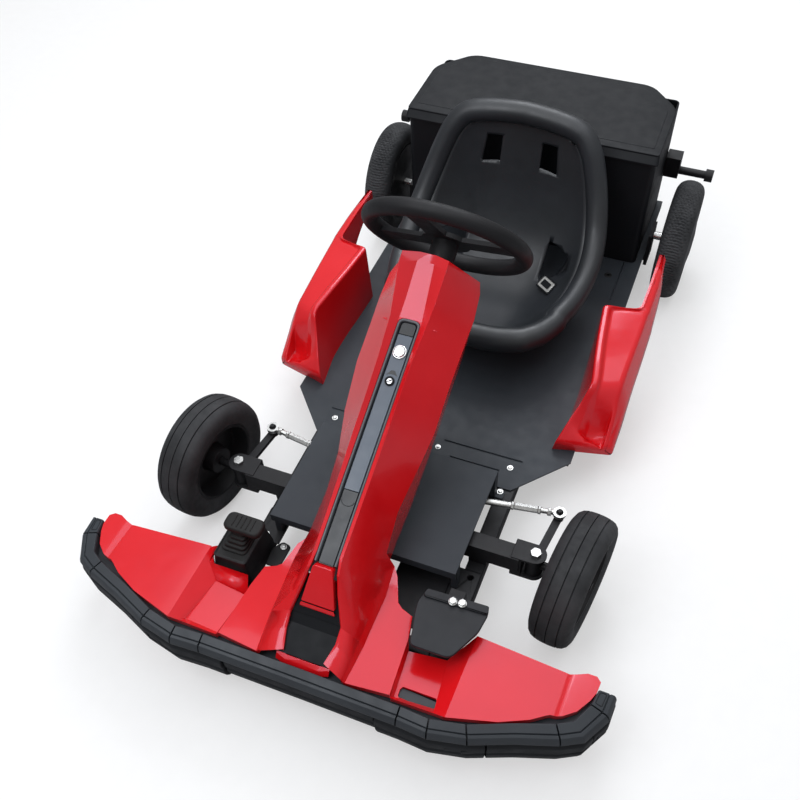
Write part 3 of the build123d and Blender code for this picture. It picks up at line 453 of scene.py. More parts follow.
def make_nose():
    shell = Shape()
    cover = [[Vector(p) for p in row] for row in COVER_ROWS]
    shell.rows(cover)
    # wall of the dash strip's channel, and the panel above the strip with its rounded corner
    side = [row[0] for row in cover]
    channel, panel = side[COVER_TOP_ROWS - 1:], side[:COVER_TOP_ROWS]
    shell.rows([*zip(moved(channel, z=-CHANNEL_FLOOR), channel)])
    shell.rows([((0, p.y, p.z), p) for p in panel])
    corner = [on_strip(x, s, 0) for x, s in bend(*map(Vector, PANEL_BEND), 5)]
    shell.face(channel[0], *reversed(corner))
    shell.rows([corner, moved(corner, z=-CHANNEL_FLOOR)])
    # ledge beside the cover's foot
    foot = [row[2] for row in cover[LEDGE_ROW:]]
    shell.rows([foot, LEDGE_IN])
    shell.rows([LEDGE_IN, LEDGE_OUT])
    # sides of the toe well
    a, b, c, d = WELL
    shell.face(LEDGE_OUT[4], a, d, WELL_FRONT[1], LEDGE_OUT[6], LEDGE_OUT[5])
    shell.face(b, WING_IN, WING[0], WELL_FRONT[0], c)
    shell.face(d, c, *WELL_FRONT)
    # wing, with a shallow groove across its tip
    shell.face(WING_IN, *GROOVE_IN, *reversed(WING))
    shell.face(*GROOVE_IN, *reversed(GROOVE_LOW))
    shell.face(*GROOVE_LOW, *reversed(GROOVE_OUT))
    shell.face(*reversed(GROOVE_OUT), *WING_TIP)
    # bar below the opening
    shell.rows([[(0, y, z), (30, y, z), (48, y + 5, z + 3)] for y, z in BAR])
    # turned-down edges
    edge = [*LEDGE_OUT[:5], a, b, WING_IN, GROOVE_IN[0], GROOVE_LOW[0], GROOVE_OUT[0], *WING_TIP,
            GROOVE_OUT[1], GROOVE_LOW[1], GROOVE_IN[1], *reversed(WING), *WELL_FRONT, LEDGE_OUT[6],
            LEDGE_IN[6], foot[-1]]
    shell.rows([edge, moved(edge, z=-TURN_DOWN)])
    shell.mirrored()
    # floor of the toe wells: the kart's left one has a slot
    shell.face(*[(-x, y, z) for x, y, z in WELL])
    slot = [Vector((x, y, well_z(y))) for x, y in SLOT]
    shell.face(a, b, slot[1], slot[0]).face(b, c, slot[3], slot[2]).face(b, slot[2], slot[1])
    shell.face(c, d, slot[5], slot[4]).face(c, slot[4], slot[3])
    shell.face(d, a, slot[0], slot[7]).face(d, slot[7], slot[6]).face(d, slot[6], slot[5])
    shell.rows([slot, moved(slot, z=-SLOT_WALL)], closed=True)
    obj = shell.build("nose_and_cover", "red_plastic")
    thicken(obj, NOSE_WALL)
    round_edges(obj, 4.5, 4, 27)
    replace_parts(obj, "column_cover", "nose_fairing")
    # apron between the kart's right toe well and the throttle pedal
    apron = Shape()
    for corners in APRON:
        apron.face(*corners)
    thicken(apron.build("nose_apron", "red_plastic"), 3)
    pocket = [moved(slot, z=z) for z in SLOT_POCKET]
    thicken(Shape().rows(pocket, closed=True).face(*pocket[1]).build("slot_pocket", "trim_black"), 1.5, 1)


# Red insert at the cover's foot, with the lip below it, and the step of the black opening behind it
INSERT_FACE = [(17, -594, 287), (30, -631, 223)]
INSERT_BACK = (0, 20, -14)
INSERT_LIP = [(29, -632, 221.5), (30.5, -633.6, 220), (31, -635.6, 214.5), (30.5, -635, 212.5),
              (30, -625, 211)]
GRILLE_STEP = [(36, -592.5, 248), (43, -620, 221), (46, -641, 199)]


def spanning(line):
    """A line on the +X side and its mirror image, as two rows."""
    return [[(-x, y, z) for x, y, z in line], line]


def make_insert():
    right, left = spanning(INSERT_FACE)
    face = rounded([right[0], *left, right[1]], [5, 5, 3, 3])
    insert = Shape().prism(face, INSERT_BACK).rows(spanning(INSERT_LIP))
    obj = insert.build("cover_insert", "red_plastic")
    round_edges(obj, 1.2, 3, 28)
    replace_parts(obj, "nose_insert")
    step = Shape().rows(spanning(GRILLE_STEP)).build("grille_step", "trim_black")
    round_edges(thicken(step, 2.5, 0), 0.5, 2)


# Dash strip. Its outlines are (across, down along the strip), its heights are above the strip's plane
TRAY_PLAN = [(20.4, 400), (20.4, STRIP_TOP), (-20.4, STRIP_TOP), (-20.4, 400), (-28, 436), (28, 436)]
TRAY_RADII = [1, 10, 10, 1, 1, 1]
TRAY_LEVELS = (-10, -7)
# Raised border: half width, upper end, corner radius, height
BORDER_SECTION = [(19.7, -10.5, 11.5, -8), (19.7, -10.5, 11.5, -0.5), (19, -9.8, 11, 0.9),
                  (17.6, -8.4, 10.2, 1.3), (16.2, -7, 9.2, 0.9), (15.6, -6.4, 8.6, -0.5),
                  (15.6, -6.4, 8.6, -8)]
# Panels between the border: upper and lower end, height, corner radius
STRIP_PANELS = [("window", "dark_glass", -5, 16, -3.2, 6), ("panel", "dash_grey", 16.6, 291, -3.4, 1),
                ("lower", "dash_dark", 291.8, STRIP_END, -3.9, 1)]
PANEL_HALF, PANEL_LOW, PANEL_TOP = 13.1, -8, -3.4
ARCH_AT, ARCH_HALF, ARCH_RISE, ARCH_HEIGHT = 309, 11, 8.5, -3.7
MARK = [(-10, 90), (-3, 80), (3, 80), (10.5, 89), (4, 87), (-4, 87)]
MARK_RISE = 0.25
# Round pieces: place down the strip, and section as (height, radius)
HOLE_AT, HOLE = 337, [(-3.95, 2.6), (-3.8, 2.6)]
BUTTON_AT, BUTTON = 47.1, [(-3.6, 12.3), (-2.6, 12.6), (-1.2, 12.2), (-0.6, 11.2), (-0.6, 10.4), (0.2, 9.8),
                           (1.4, 9), (1.9, 7.6), (1.9, 2), (1.8, 0.4)]
KEY_AT, KEY = 99.4, [(-2.6, 5), (-1.3, 4.9), (-1.1, 4), (-1.1, 0.5)]
KEY_RING = [(-3.6, 8.2), (-1, 8.2), (-0.4, 7.4), (-0.4, 6), (-1, 5.2), (-2.8, 5.1)]
KEY_SLIT = [(-4, -2.2, -1.2), (-2.6, -3.4, -1.2), (4, 2.2, -1.2), (2.6, 3.4, -1.2)]
KEY_SLIT_RISE = 0.5


def strip_outline(half, top, end, radius, height):
    flat = rounded([(half, end), (half, top), (-half, top), (-half, end)], [1, radius, radius, 1])
    return [on_strip(x, s, height) for x, s in flat]


def strip_rise(height):
    """A move square to the dash strip."""
    return on_strip(0, 0, height) - on_strip(0, 0, 0)


def down_strip(distance):
    """The matrix of a round piece, at a distance down the dash strip."""
    return STRIP @ Matrix.Translation((0, -distance, 0))


def make_dash():
    plan = rounded(TRAY_PLAN, TRAY_RADII)
    tray = Shape().solid([[on_strip(x, s, h) for x, s in plan] for h in TRAY_LEVELS])
    tray.build("strip_tray", "dash_dark")
    rings = [strip_outline(half, top, STRIP_END - 4, radius, h) for half, top, radius, h in BORDER_SECTION]
    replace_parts(Shape().rows(rings, closed=True).build("strip_border", "dash_edge"), "dash_strip")
    for name, look, top, end, height, radius in STRIP_PANELS:
        rings = [strip_outline(PANEL_HALF, top, end, radius, h) for h in (PANEL_LOW, height - 0.7)]
        rings.append(strip_outline(PANEL_HALF - 0.7, top + 0.5, end - 0.4, radius, height))
        Shape().solid(rings).build(f"strip_{name}", look, smooth=False)
    # arched lip below the break
    arch = [(math.cos(math.pi * k / 16), math.sin(math.pi * k / 16)) for k in range(17)]
    arch = [on_strip(ARCH_HALF * x, ARCH_AT + ARCH_RISE * y, ARCH_HEIGHT) for x, y in arch]
    Shape().sweep(arch, 0.8, 8).build("strip_arch", "dash_dark")
    # plain mark and small hole
    mark = Shape().prism([on_strip(x, s, PANEL_TOP) for x, s in rounded(MARK, 1.2)], strip_rise(MARK_RISE))
    mark.lathe(HOLE, down_strip(HOLE_AT), 20, caps=True)
    mark.build("strip_marks", "dark_glass", smooth=False)
    cap = Shape().lathe(BUTTON, down_strip(BUTTON_AT), 48, caps=True)
    key = down_strip(KEY_AT)
    cap.lathe(KEY, key, 32, caps=True)
    round_edges(cap.build("push_button", "chrome"), 0.3, 2, 30)
    ring = Shape().lathe(KEY_RING, key, 40)
    ring.prism([key @ Vector(p) for p in KEY_SLIT], strip_rise(KEY_SLIT_RISE))
    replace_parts(ring.build("key_switch", "trim_black"), "dash_controls")


# Bumper: inner and outer edge of its top, from the middle to the end on the +X side
BUMPER_INNER = [(0, -719, 165), (178, -720.5, 165), (228, -724, 167), (285, -712.5, 168), (352, -685, 168),
                (415, -662, 168), (440, -648, 167), (458, -612, 165), (464, -582, 163)]
BUMPER_OUTER = [(0, -742, 158), (178, -742.5, 158), (231, -746, 159), (294, -733, 160), (364, -705, 160),
                (429, -683, 160), (462, -665, 159), (488, -618, 157), (491, -579, 156)]
FLAT = Vector((1, 1, 0))
# Places along these lines, counted in their points, where each tier is cut into segments
UPPER_CUTS = [0, 1, 2, 3, 5, 7, 8]
LOWER_CUTS = [0.78, 3.4, 6.4, 8]
LIP_END = 7.96
# Section of the lip and of each tier: share of the way outwards, and height below the top
LIP_SECTION = [(-1.7, 27), (-1.7, 23), (0.3, 16), (0.8, 16), (0.8, 26)]
UPPER_SECTION = [(-0.08, 24), (-0.04, 3), (0.03, 0), (0.6, 0.3), (0.63, 3.6), (0.67, 3.6), (0.7, 0.8),
                 (0.9, 1.2), (1.04, 6), (1.12, 14), (1.13, 24), (1.05, 30), (0.5, 31)]
LOWER_SECTION = [(0, 34), (0.5, 33), (1, 33), (1.16, 38), (1.2, 45), (1.2, 58), (1.08, 61), (1.08, 66),
                 (1.19, 69), (1.14, 80), (1, 94), (0.72, 106), (0.3, 108), (0, 104)]
# Points of a section that are less far down than this follow the slope of the top
SLOPED_ABOVE = 20
MIDDLE_BULGE = -0.22
HALF_GAP = 1.2
# Oval plugs in the lower tier: place along the bumper and half length
PLUGS = [(2.55, 7), (3.02, 11), (6.75, 12)]
PLUG_HALF_HEIGHT, PLUG_Z = 4.5, 114
PLUG_LEVELS = (-1.2, 4.8)
# Outline of a panel on each end cap: place along the bumper and share of the way outwards
CAP_PANEL = [(7.2, 0.12), (7.2, 0.5), (7.86, 0.5), (7.86, 0.12)]


def bumper_at(t):
    """Inner and outer edge of the bumper's top at a place along its line of points."""
    k = min(int(t), len(BUMPER_INNER) - 2)
    u = t - k
    return [Vector(line[k]).lerp(Vector(line[k + 1]), u) for line in (BUMPER_INNER, BUMPER_OUTER)]


def tier(shape, start, end, section, bulge=0):
    """One segment of a bumper tier between two places along the bumper, with small gaps at its ends."""
    rings = []
    for t in [start, *range(int(start) + 1, math.ceil(end)), end]:
        inner, outer = bumper_at(t)
        reach = (outer - inner) * FLAT
        drop_out = outer.z - inner.z
        ring = []
        for share, drop in section:
            p = inner + reach * (share + (bulge if share > 0.4 else 0))
            p.z = inner.z - drop
            if drop < SLOPED_ABOVE:
                p.z += drop_out * min(max(share, 0), 1)
            ring.append(p)
        rings.append(ring)
    ends = [(-1, -2)] if start == 0 else [(0, 1), (-1, -2)]
    for k, other in ends:
        along = ((rings[other][0] - rings[k][0]) * FLAT).normalized()
        rings[k] = moved(rings[k], *along * HALF_GAP)
    shape.rows(rings, closed=True)
    for k, _ in reversed(ends):
        shape.face(*rings[k])


def make_bumper():
    upper = Shape()
    for start, end in zip(UPPER_CUTS, UPPER_CUTS[1:]):
        tier(upper, start, end, UPPER_SECTION)
    tier(upper, 0, LIP_END, LIP_SECTION)
    obj = upper.mirrored().build("bumper_upper_shells", "bumper_black")
    round_edges(obj, 0.9, 2, 24)
    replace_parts(obj, "bumper_upper")
    # lower tier and its plugs, in the darker finish that also paints the shade under the upper tier
    lower = Shape()
    tier(lower, 0, LOWER_CUTS[0], LOWER_SECTION, MIDDLE_BULGE)
    for start, end in zip(LOWER_CUTS, LOWER_CUTS[1:]):
        tier(lower, start, end, LOWER_SECTION)
    obj = lower.mirrored().build("bumper_lower_shells", "bumper_dark_and_painted_shade")
    round_edges(obj, 1.6, 2, 24)
    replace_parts(obj, "bumper_lower")
    plugs = Shape()
    for t, long in PLUGS:
        inner, outer = bumper_at(t)
        out = ((outer - inner) * FLAT).normalized()
        place = frame_at((outer.x, outer.y, PLUG_Z), out, (-out.y, out.x, 0))
        oval = box_ring(long, PLUG_HALF_HEIGHT, PLUG_HALF_HEIGHT - 0.1, steps=4)
        low, high = [[place @ p for p in level(oval, z)] for z in PLUG_LEVELS]
        plugs.face(*high)
        plugs.rows([low, high], closed=True)
    corners = []
    for t, share in CAP_PANEL:
        inner, outer = bumper_at(t)
        corners.append(inner.lerp(outer, share))
    plugs.sweep(rounded(corners, 3, 4), 0.8, 6, closed=True)
    round_edges(plugs.mirrored().build("bumper_plugs", "bumper_dark_and_painted_shade"), 0.6, 2, 30)


# Seat: the rolled rim's line on the +X side, from the front to the top of the back
SEAT_EDGE = [(0, 52, 194), (70, 53, 195), (122, 66, 197), (143, 82, 198), (160, 100, 199),
             (177, 134, 200), (191, 175, 201), (202, 222, 203), (209, 280, 214), (209, 325, 234),
             (203, 362, 262), (194, 388, 296), (183, 408, 332), (170, 424, 370), (153, 437, 408),
             (124, 449, 438), (66, 455, 450), (0, 457, 455)]
# The tub's middle line, as (y, z)
SEAT_SPINE = [(52, 194), (53, 188), (62, 174), (88, 144), (124, 125), (180, 118), (226, 118), (284, 124),
              (340, 148), (379, 187), (405, 234), (423, 284), (434, 326), (443, 366), (451, 405),
              (456, 434), (457, 450), (457, 455)]
SEAT_ROWS, SEAT_COLUMNS = 60, 16
TUB_WALL = 5
# Share of the tub's half width that stays flat, how steeply it rises then, and how much it bulges
TUB_FLAT, TUB_POWER, TUB_BULGE = 0.22, 2.3, 0.12
# The rim's radius and how far its middle lies inside its line: in front of and behind RIM_FRONT_Y
RIM_FRONT_Y, RIM_FRONT_RUN = 150, 90
RIM_R, RIM_FRONT_R = 23, 26
RIM_INSET, RIM_FRONT_INSET = 16.5, 21
BOWL_CENTRE = Vector((0, 255, 300))
BOWL_UP = Vector((0, -0.541, 0.841))
# Where on the rim's round section the tub's wall ends, from straight outwards, and how deep in the rim
WALL_END = math.radians(205)
WALL_IN_RIM = 4
# Crease moulded across the tub: its row, and how far out it starts and ends
CREASE_ROW, CREASE_FROM, CREASE_TO = 35, -0.32, 0.48
# Belt openings on the +X side, as (x, z), cut through the tub between two distances
BELT_OPENINGS = [(390, 480, [(77, 394), (44, 395), (44, 340), (84, 334)]),
                 (310, 400, [(96, 205), (150, 205), (172, 150), (128, 132), (92, 150)])]


def seat_point(edge, spine, share):
    """A point of the tub's wall: flat in the middle, then rising to the rim."""
    rise = max(0, (share - TUB_FLAT) / (1 - TUB_FLAT)) ** TUB_POWER
    p = spine.lerp(edge, rise)
    p.x = edge.x * share * (1 + TUB_BULGE - TUB_BULGE * share)
    return p


def seat_rim():
    """The rim's middle line on the +X side, its radius at each point, and where the wall meets it."""
    line, radii, wall = [], [], []
    edge = curve_through(SEAT_EDGE, SEAT_ROWS)
    last = SEAT_ROWS - 1
    for i, p in enumerate(edge):
        along = (edge[min(i + 1, last)] - edge[max(i - 1, 0)]).normalized()
        out = p - BOWL_CENTRE
        out = (out - along * out.dot(along)).normalized()
        up = (BOWL_UP - along * BOWL_UP.dot(along) - out * BOWL_UP.dot(out)).normalized()
        radius = RIM_R + (RIM_FRONT_R - RIM_R) * min(max((RIM_FRONT_Y - p.y) / RIM_FRONT_RUN, 0), 1)
        middle = p - out * (radius - (RIM_INSET if p.y > RIM_FRONT_Y else RIM_FRONT_INSET))
        if i in (0, last):
            middle.x = 0
        line.append(middle)
        radii.append(radius)
        wall.append(middle + (out * math.cos(WALL_END) + up * math.sin(WALL_END)) * (radius - WALL_IN_RIM))
    return line, radii, wall


def make_seat():
    line, radii, wall = seat_rim()
    spine = curve_through([(0, y, z) for y, z in SEAT_SPINE], SEAT_ROWS)
    for i in (0, -1):
        spine[i] = spine[i].lerp(wall[i], 0.5)
    shares = [i / SEAT_COLUMNS for i in range(SEAT_COLUMNS + 1)]
    rows = [[seat_point(e, s, t) for t in shares] for e, s in zip(wall, spine)]
    shell = Shape().rows(rows).mirrored().build("seat_tub", "seat_black")
    thicken(shell, TUB_WALL)
    openings = Shape()
    for sx in (1, -1):
        for start, end, outline in BELT_OPENINGS:
            openings.prism([(sx * x, end, z) for x, z in outline], (0, start - end, 0))
    cut(shell, openings)
    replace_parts(shell, "seat_shell")
    line += [Vector((-p.x, p.y, p.z)) for p in reversed(line[1:-1])]
    radii += radii[-2:0:-1]
    Shape().sweep(line, radii, 28, closed=True).build("seat_rim", "seat_black")
    shares = [CREASE_FROM + (CREASE_TO - CREASE_FROM) * k / 20 for k in range(21)]
    path = [seat_point(wall[CREASE_ROW], spine[CREASE_ROW], share) for share in shares]
    Shape().sweep(moved(path, y=-0.6, z=0.8), 0.9, 6).build("seat_creases", "seat_black")


def cut(obj, shape):
    """Cuts a shape out of an object, and keeps the outcome as its mesh."""
    tool = shape.build("cutter", "seat_black", smooth=False)
    knife = obj.modifiers.new("cut", "BOOLEAN")
    knife.object, knife.operation, knife.solver = tool, "DIFFERENCE", "EXACT"
    bpy.context.view_layer.update()
    mesh = bpy.data.meshes.new_from_object(obj.evaluated_get(bpy.context.evaluated_depsgraph_get()))
    obj.modifiers.clear()
    obj.data = mesh
    bpy.data.objects.remove(tool)


# Side pods: corners of the section on the +X side, from the front to the back: inner foot, top of the inner
# wall, far side of its ridge, foot of the ridge, outer shoulder, outer wall and its foot
POD_STATIONS = [
    [(250, -99, 99), (254, -99, 118), (285, -95, 118), (300, -92, 118),
     (344, -80, 114), (364, -70, 108), (362, -68, 92)],
    [(250, -97, 99), (256, -96, 130), (285, -92, 130), (303, -88, 129),
     (345, -76, 124), (366, -66, 118), (365, -64, 90)],
    [(262, -16, 97), (294, -15, 224), (304, -10, 224), (310, -6, 214),
     (347, 11, 207), (367, 14, 160), (366, 16, 86)],
    [(262, 50, 97), (282, 47, 231), (293, 52, 231), (300, 56, 221),
     (348, 72, 214), (367, 76, 163), (364, 76, 86)],
    [(258, 110, 97), (272, 108, 234), (284, 110, 234), (291, 112, 224),
     (350, 132, 218), (368, 136, 168), (363, 136, 88)],
    [(255, 190, 97), (262, 190, 236), (274, 190, 236), (281, 190, 226),
     (351, 205, 224), (368, 205, 174), (361, 205, 92)],
    [(292, 199, 104), (294, 199, 230), (302, 199, 230), (307, 200, 225),
     (352, 212, 223), (368, 212, 176), (362, 210, 98)],
    [(330, 210, 112), (334, 210, 227), (337, 210, 227), (340, 211, 225),
     (353, 222, 223), (367, 222, 179), (362, 218, 112)],
    [(335, 300, 163), (336, 300, 226), (339, 300, 226), (342, 300, 225),
     (352, 303, 223), (364, 303, 199), (360, 303, 162)],
    [(335, 390, 200), (335, 390, 223), (338, 390, 223), (340, 390, 222),
     (346, 390, 221), (351, 390, 211), (349, 390, 200)],
]
# How round the pod is along its length, at each station between the ends
POD_SOFT = [4, 16, 30, 30, 8, 5, 14, 30]
# Radius of each corner of the section
POD_CORNERS = [3, 6, 3, 3, 9, 16, 5]
# Pocket in the pod's front slope: its four stops across and along, its depth and its lowest floor
POCKET_X = (266, 326, 340, 346)
POCKET_Y = (-82, -64, -46, -20)
POCKET_DEPTH, POCKET_FLOOR = 40, 117
# Rings that stand in front of this, and further apart than this, are split to shape the pocket
POCKET_END, POCKET_SPAN, POCKET_PARTS = -30, 20, 12


def softened(points, radii, steps=4):
    """An open line whose inner corners are rounded, by one radius each."""
    points = [Vector(p) for p in points]
    out = [points[0]]
    for before, corner, after, radius in zip(points, points[1:], points[2:], radii):
        sides = [other - corner for other in (before, after)]
        start, end = [corner + side.normalized() * min(radius, side.length * 0.45) for side in sides]
        out += bend(start, corner, end, steps)
    return out + [points[-1]]


def plateau(value, stops):
    """0 outside the four stops, 1 between the middle two, and a soft ramp between."""
    a, b, c, d = stops
    share = min(max((value - a) / (b - a), 0), max((d - value) / (d - c), 0), 1)
    return share * share * (3 - 2 * share)


def finer(line, count):
    """The same closed line with each piece split into a number of parts."""
    return [p.lerp(line[(i + 1) % len(line)], k / count) for i, p in enumerate(line) for k in range(count)]


def pod_shape(sx):
    """The pod of the side whose X has this sign."""
    columns = [softened(line, POD_SOFT) for line in zip(*POD_STATIONS)]
    rings = [finer(rounded(corners, POD_CORNERS, 4), 3) for corners in zip(*columns)]
    dense = []
    for first, second in zip(rings, rings[1:]):
        split = first[0].y < POCKET_END and (second[0] - first[0]).length > POCKET_SPAN
        parts = POCKET_PARTS if split else 1
        dense += [[p.lerp(q, k / parts) for p, q in zip(first, second)] for k in range(parts)]
    dense.append(rings[-1])
    for ring in dense:
        for p in ring:
            sink = POCKET_DEPTH * plateau(p.x, POCKET_X) * plateau(p.y, POCKET_Y)
            if p.z > POCKET_FLOOR:
                p.z = max(p.z - sink, POCKET_FLOOR)
    return Shape().solid([[(sx * p.x, p.y, p.z) for p in ring] for ring in dense])


def make_pods():
    for side, sx in (("left", 1), ("right", -1)):
        obj = pod_shape(sx).build(f"pod_{side}", "red_plastic")
        obj.modifiers.new("even", "WEIGHTED_NORMAL")
        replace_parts(obj, f"side_pod_{side}")


# Pedals: outline of the brake's plate and of the raised strip at its back
BRAKE = [(149, -523), (257, -519), (260, -533), (255, -569), (227, -627), (157, -627), (153, -603),
         (145, -572), (142, -548)]
BRAKE_RADII = [5, 4, 5, 8, 12, 10, 5, 8, 6]
BRAKE_STRIP = [(149, -523), (257, -519), (260, -532), (258, -535), (150, -538), (147, -534)]
BRAKE_ARM = [(190, -538, 184), (224, -538, 184), (214, -530, 150), (198, -530, 150)]
BRAKE_LEVELS, BRAKE_STRIP_LEVELS = (184, 189), (188, 192.5)
# Throttle: a fold of its boot, as (inset, rise), and its pad and casing, as (growth, height, corner radius)
FOLDS = 5
FOLD = [(0, 0), (0, 3.4), (1.2, 4.6), (4.6, 5)]
# The lowest fold's middle, half widths and height, and how they change from fold to fold
BOOT, BOOT_STEP = (-206, -532, 25, 31, 163.5), (1.4, 1.4, -3.3, -4.2, 6.9)
PAD_AT, PAD_HALF = (-194, -524), (36.5, 18.5)
PAD_SECTION = [(-8, 196), (-1.5, 197.5), (0, 201), (0, 206), (-1.5, 209), (-4, 210.5), (-6, 210.8)]
PAD_RIBS = (-212, -203, -194, -185, -176)
PAD_RIB = [(-536, 210.4), (-524, 210.8), (-512, 210.4)]
CASING_AT, CASING_HALF = (-206, -535), (32, 43)
CASING_RIM = [(0, 158, 7), (0, 163, 7), (-4, 165, 5), (-4, 163.5, 5)]
CASING_SKIRT = [(5, 99, 7), (4.6, 120, 7), (0, 158, 7)]
STRAP = [(-166, -534), (-139, -534), (-138, -484), (-157, -479), (-170, -500)]
STRAP_LEVELS = (99, 102)


def slab(shape, outline, low, high, bevel=1.2):
    """A flat plate with a small bevel around its top."""
    middle = sum(outline, Vector((0, 0))) / len(outline)
    inner = [p + (middle - p).normalized() * bevel for p in outline]
    shape.solid([level(outline, low), level(outline, high - bevel), level(inner, high)])


def casing(section):
    """Rings of the throttle's casing."""
    x, y = CASING_HALF
    return [level(box_ring(x + grow, y + grow, radius, CASING_AT), z) for grow, z, radius in section]


def make_pedals():
    plate = Shape()
    slab(plate, rounded(BRAKE, BRAKE_RADII), *BRAKE_LEVELS)
    slab(plate, rounded(BRAKE_STRIP, 3), *BRAKE_STRIP_LEVELS)
    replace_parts(plate.build("brake_plate", "pedal_black", smooth=False), "brake_pedal")
    round_edges(Shape().prism(BRAKE_ARM, (0, 12, 0)).build("brake_arm", "frame_black"), 1.5)
    rings = []
    for k in range(FOLDS):
        x, y, half_x, half_y, z = [start + step * k for start, step in zip(BOOT, BOOT_STEP)]
        for inset, rise in FOLD:
            across, along = half_x - inset, half_y - inset
            rings.append(level(box_ring(across, along, min(across, along) * 0.45, (x, y)), z + rise))
    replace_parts(Shape().solid(rings).build("throttle_bellows", "rubber", smooth=False), "throttle_boot")
    rings = []
    for grow, z in PAD_SECTION:
        half_x, half_y = PAD_HALF[0] + grow, PAD_HALF[1] + grow
        rings.append(level(box_ring(half_x, half_y, half_y * 0.8, PAD_AT, 7), z))
    pad = Shape().solid(rings)
    for x in PAD_RIBS:
        pad.sweep([(x, y, z) for y, z in PAD_RIB], 1.3, 8)
    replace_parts(pad.build("throttle_shoe", "rubber"), "throttle_pad")
    # rim and skirt around the throttle's casing, and the strap behind it
    rim = Shape().rows(casing(CASING_RIM), closed=True).rows(casing(CASING_SKIRT), closed=True)
    slab(rim, rounded(STRAP, [2, 2, 7, 7, 2]), *STRAP_LEVELS)
    rim.build("throttle_rim", "frame_black", smooth=False)


# Box lid: outlines of its foot, its edge and its inset panel
LID_FOOT = [(-283, 481), (283, 481), (283, 672), (213, 747), (-213, 747), (-283, 672)]
LID_EDGE = [(-282, 493), (282, 493), (282, 672), (212, 746), (-212, 746), (-282, 672)]
LID_PANEL = [(-268, 513), (268, 511), (266, 662), (203, 727), (-203, 732), (-266, 664)]
LID_MIDDLE = 610
# Rings from the foot to the panel: outline, corner radii, and the inset and height of each ring
LID_RINGS = [(LID_FOOT, [8, 8, 24, 24, 24, 24], [(0, 366), (0, 369)]),
             (LID_EDGE, [8, 8, 24, 24, 24, 24], [(-0.5, 381), (0.6, 384), (3, 385)]),
             (LID_PANEL, [5, 5, 10, 10, 10, 10], [(-2.6, 385), (-2.2, 381.5), (1.4, 381.5), (2.6, 385.6)])]


def make_lid():
    rings = []
    for corners, radii, steps in LID_RINGS:
        for inset, z in steps:
            flat = [(x - math.copysign(inset, x), y - math.copysign(inset, y - LID_MIDDLE))
                    for x, y in corners]
            rings.append(level(rounded(flat, radii, 8), z))
    obj = Shape().solid(rings).build("box_lid", "trim_black")
    round_edges(obj, 0.6, 2, 30)
    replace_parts(obj, "rear_lid")


# Round bolt heads on the pan, as place and radius, and hexagonal ones on the brake pedal
ROUND_BOLTS = [((36.5, -172, 101), 4.5), ((187.5, -172.5, 101), 5), ((186.5, -233, 101), 5),
               ((-189, -174, 101), 5), ((-150.5, -490, 102), 5), ((195, -475, 101), 5),
               ((-195, -475, 101), 5)]
HEX_BOLTS = [(198, -532, 192.5), (214, -530, 192.5)]
# Section of a round bolt, as (height, share of its radius), and of a hexagonal one, as (height, radius)
ROUND_BOLT = [(0, 1.25), (1.2, 1.25), (1.3, 0.8), (3.2, 0.72), (4, 0.45)]
WASHER = [(0, 7.44), (1.5, 7.44)]
HEX_HEAD = [(1.5, 6.924), (5, 6.924), (5.8, 6)]
# Raised ribs of the pan, from one end to the other
PAN_RIBS = [[(43, -150), (206, -150)], [(67, -185), (169, -185)], [(-206, -150), (-43, -150)],
            [(255, 353), (255, 487)], [(-255, 353), (-255, 487)]]


def upright(at):
    return frame_at(at, (0, 0, 1))


def make_fasteners():
    heads = Shape()
    for at, radius in ROUND_BOLTS:
        heads.lathe([(z, radius * share) for z, share in ROUND_BOLT], upright(at), 24, caps=True)
    for at in HEX_BOLTS:
        heads.lathe(WASHER, upright(at), 24, caps=True)
        heads.lathe(HEX_HEAD, upright(at), 6, caps=True)
    round_edges(heads.build("bolt_heads", "zinc"), 0.3, 2)
    ribs = Shape()
    for start, end in PAN_RIBS:
        near = Vector(start).lerp(Vector(end), 0.02)
        ribs.sweep([(*start, 101.2), (*near, 102), (*end, 102)], 1.4, 8)
    ribs.build("pan_ribs", "pan_black")


# Tie rods: outer and inner eye of each side
TIE_RODS = [("left", (310, -264.4, 135.5), (30, -309.9, 139)),
            ("right", (-280.1, -264.7, 135.5), (-1, -303.2, 135.2))]
# Nuts and sleeve on each rod: start and end along it, and radius. A tube runs from the last one
ROD_NUTS = [(15, 22, 8), (34, 40, 8), (40, 84, 7), (84, 90, 8)]
ROD_TUBE_R, ROD_TUBE_STOP = 6.4, 16


def make_tie_rods():
    for side, outer, inner in TIE_RODS:
        run = Vector(inner) - Vector(outer)
        place = frame_at(outer, run)
        metal = Shape()
        for start, end, r in ROD_NUTS:
            nut = [(start, r - 0.8), (start + 0.7, r), (end - 0.7, r), (end, r - 0.8)]
            metal.lathe(nut, place, 6, caps=True)
        metal.lathe([(end, ROD_TUBE_R), (run.length - ROD_TUBE_STOP, ROD_TUBE_R)], place, 20, caps=True)
        obj = metal.build(f"tie_rod_sleeve_{side}", "zinc", f"tie_rod_{side}", smooth=False)
        round_edges(obj, 0.4, 2, 40)


# Belt buckle on its stiff stalk, beside the +X opening of the seat
BUCKLE = frame_at((123, 285, 160), (-0.42, -0.35, 0.84), (0.75, -0.62, 0.1))
STALK = [(150, 396, 172), (146, 368, 158), (136, 330, 150), (127, 300, 156)]
BUCKLE_ROD = [(-24, -14, 2), (-24, 14, 2)]


def buckle_part(half_x, half_y, radius, low, high):
    flat = box_ring(half_x, half_y, radius)
    return Shape().solid([[BUCKLE @ p for p in level(flat, z)] for z in (low, high)])


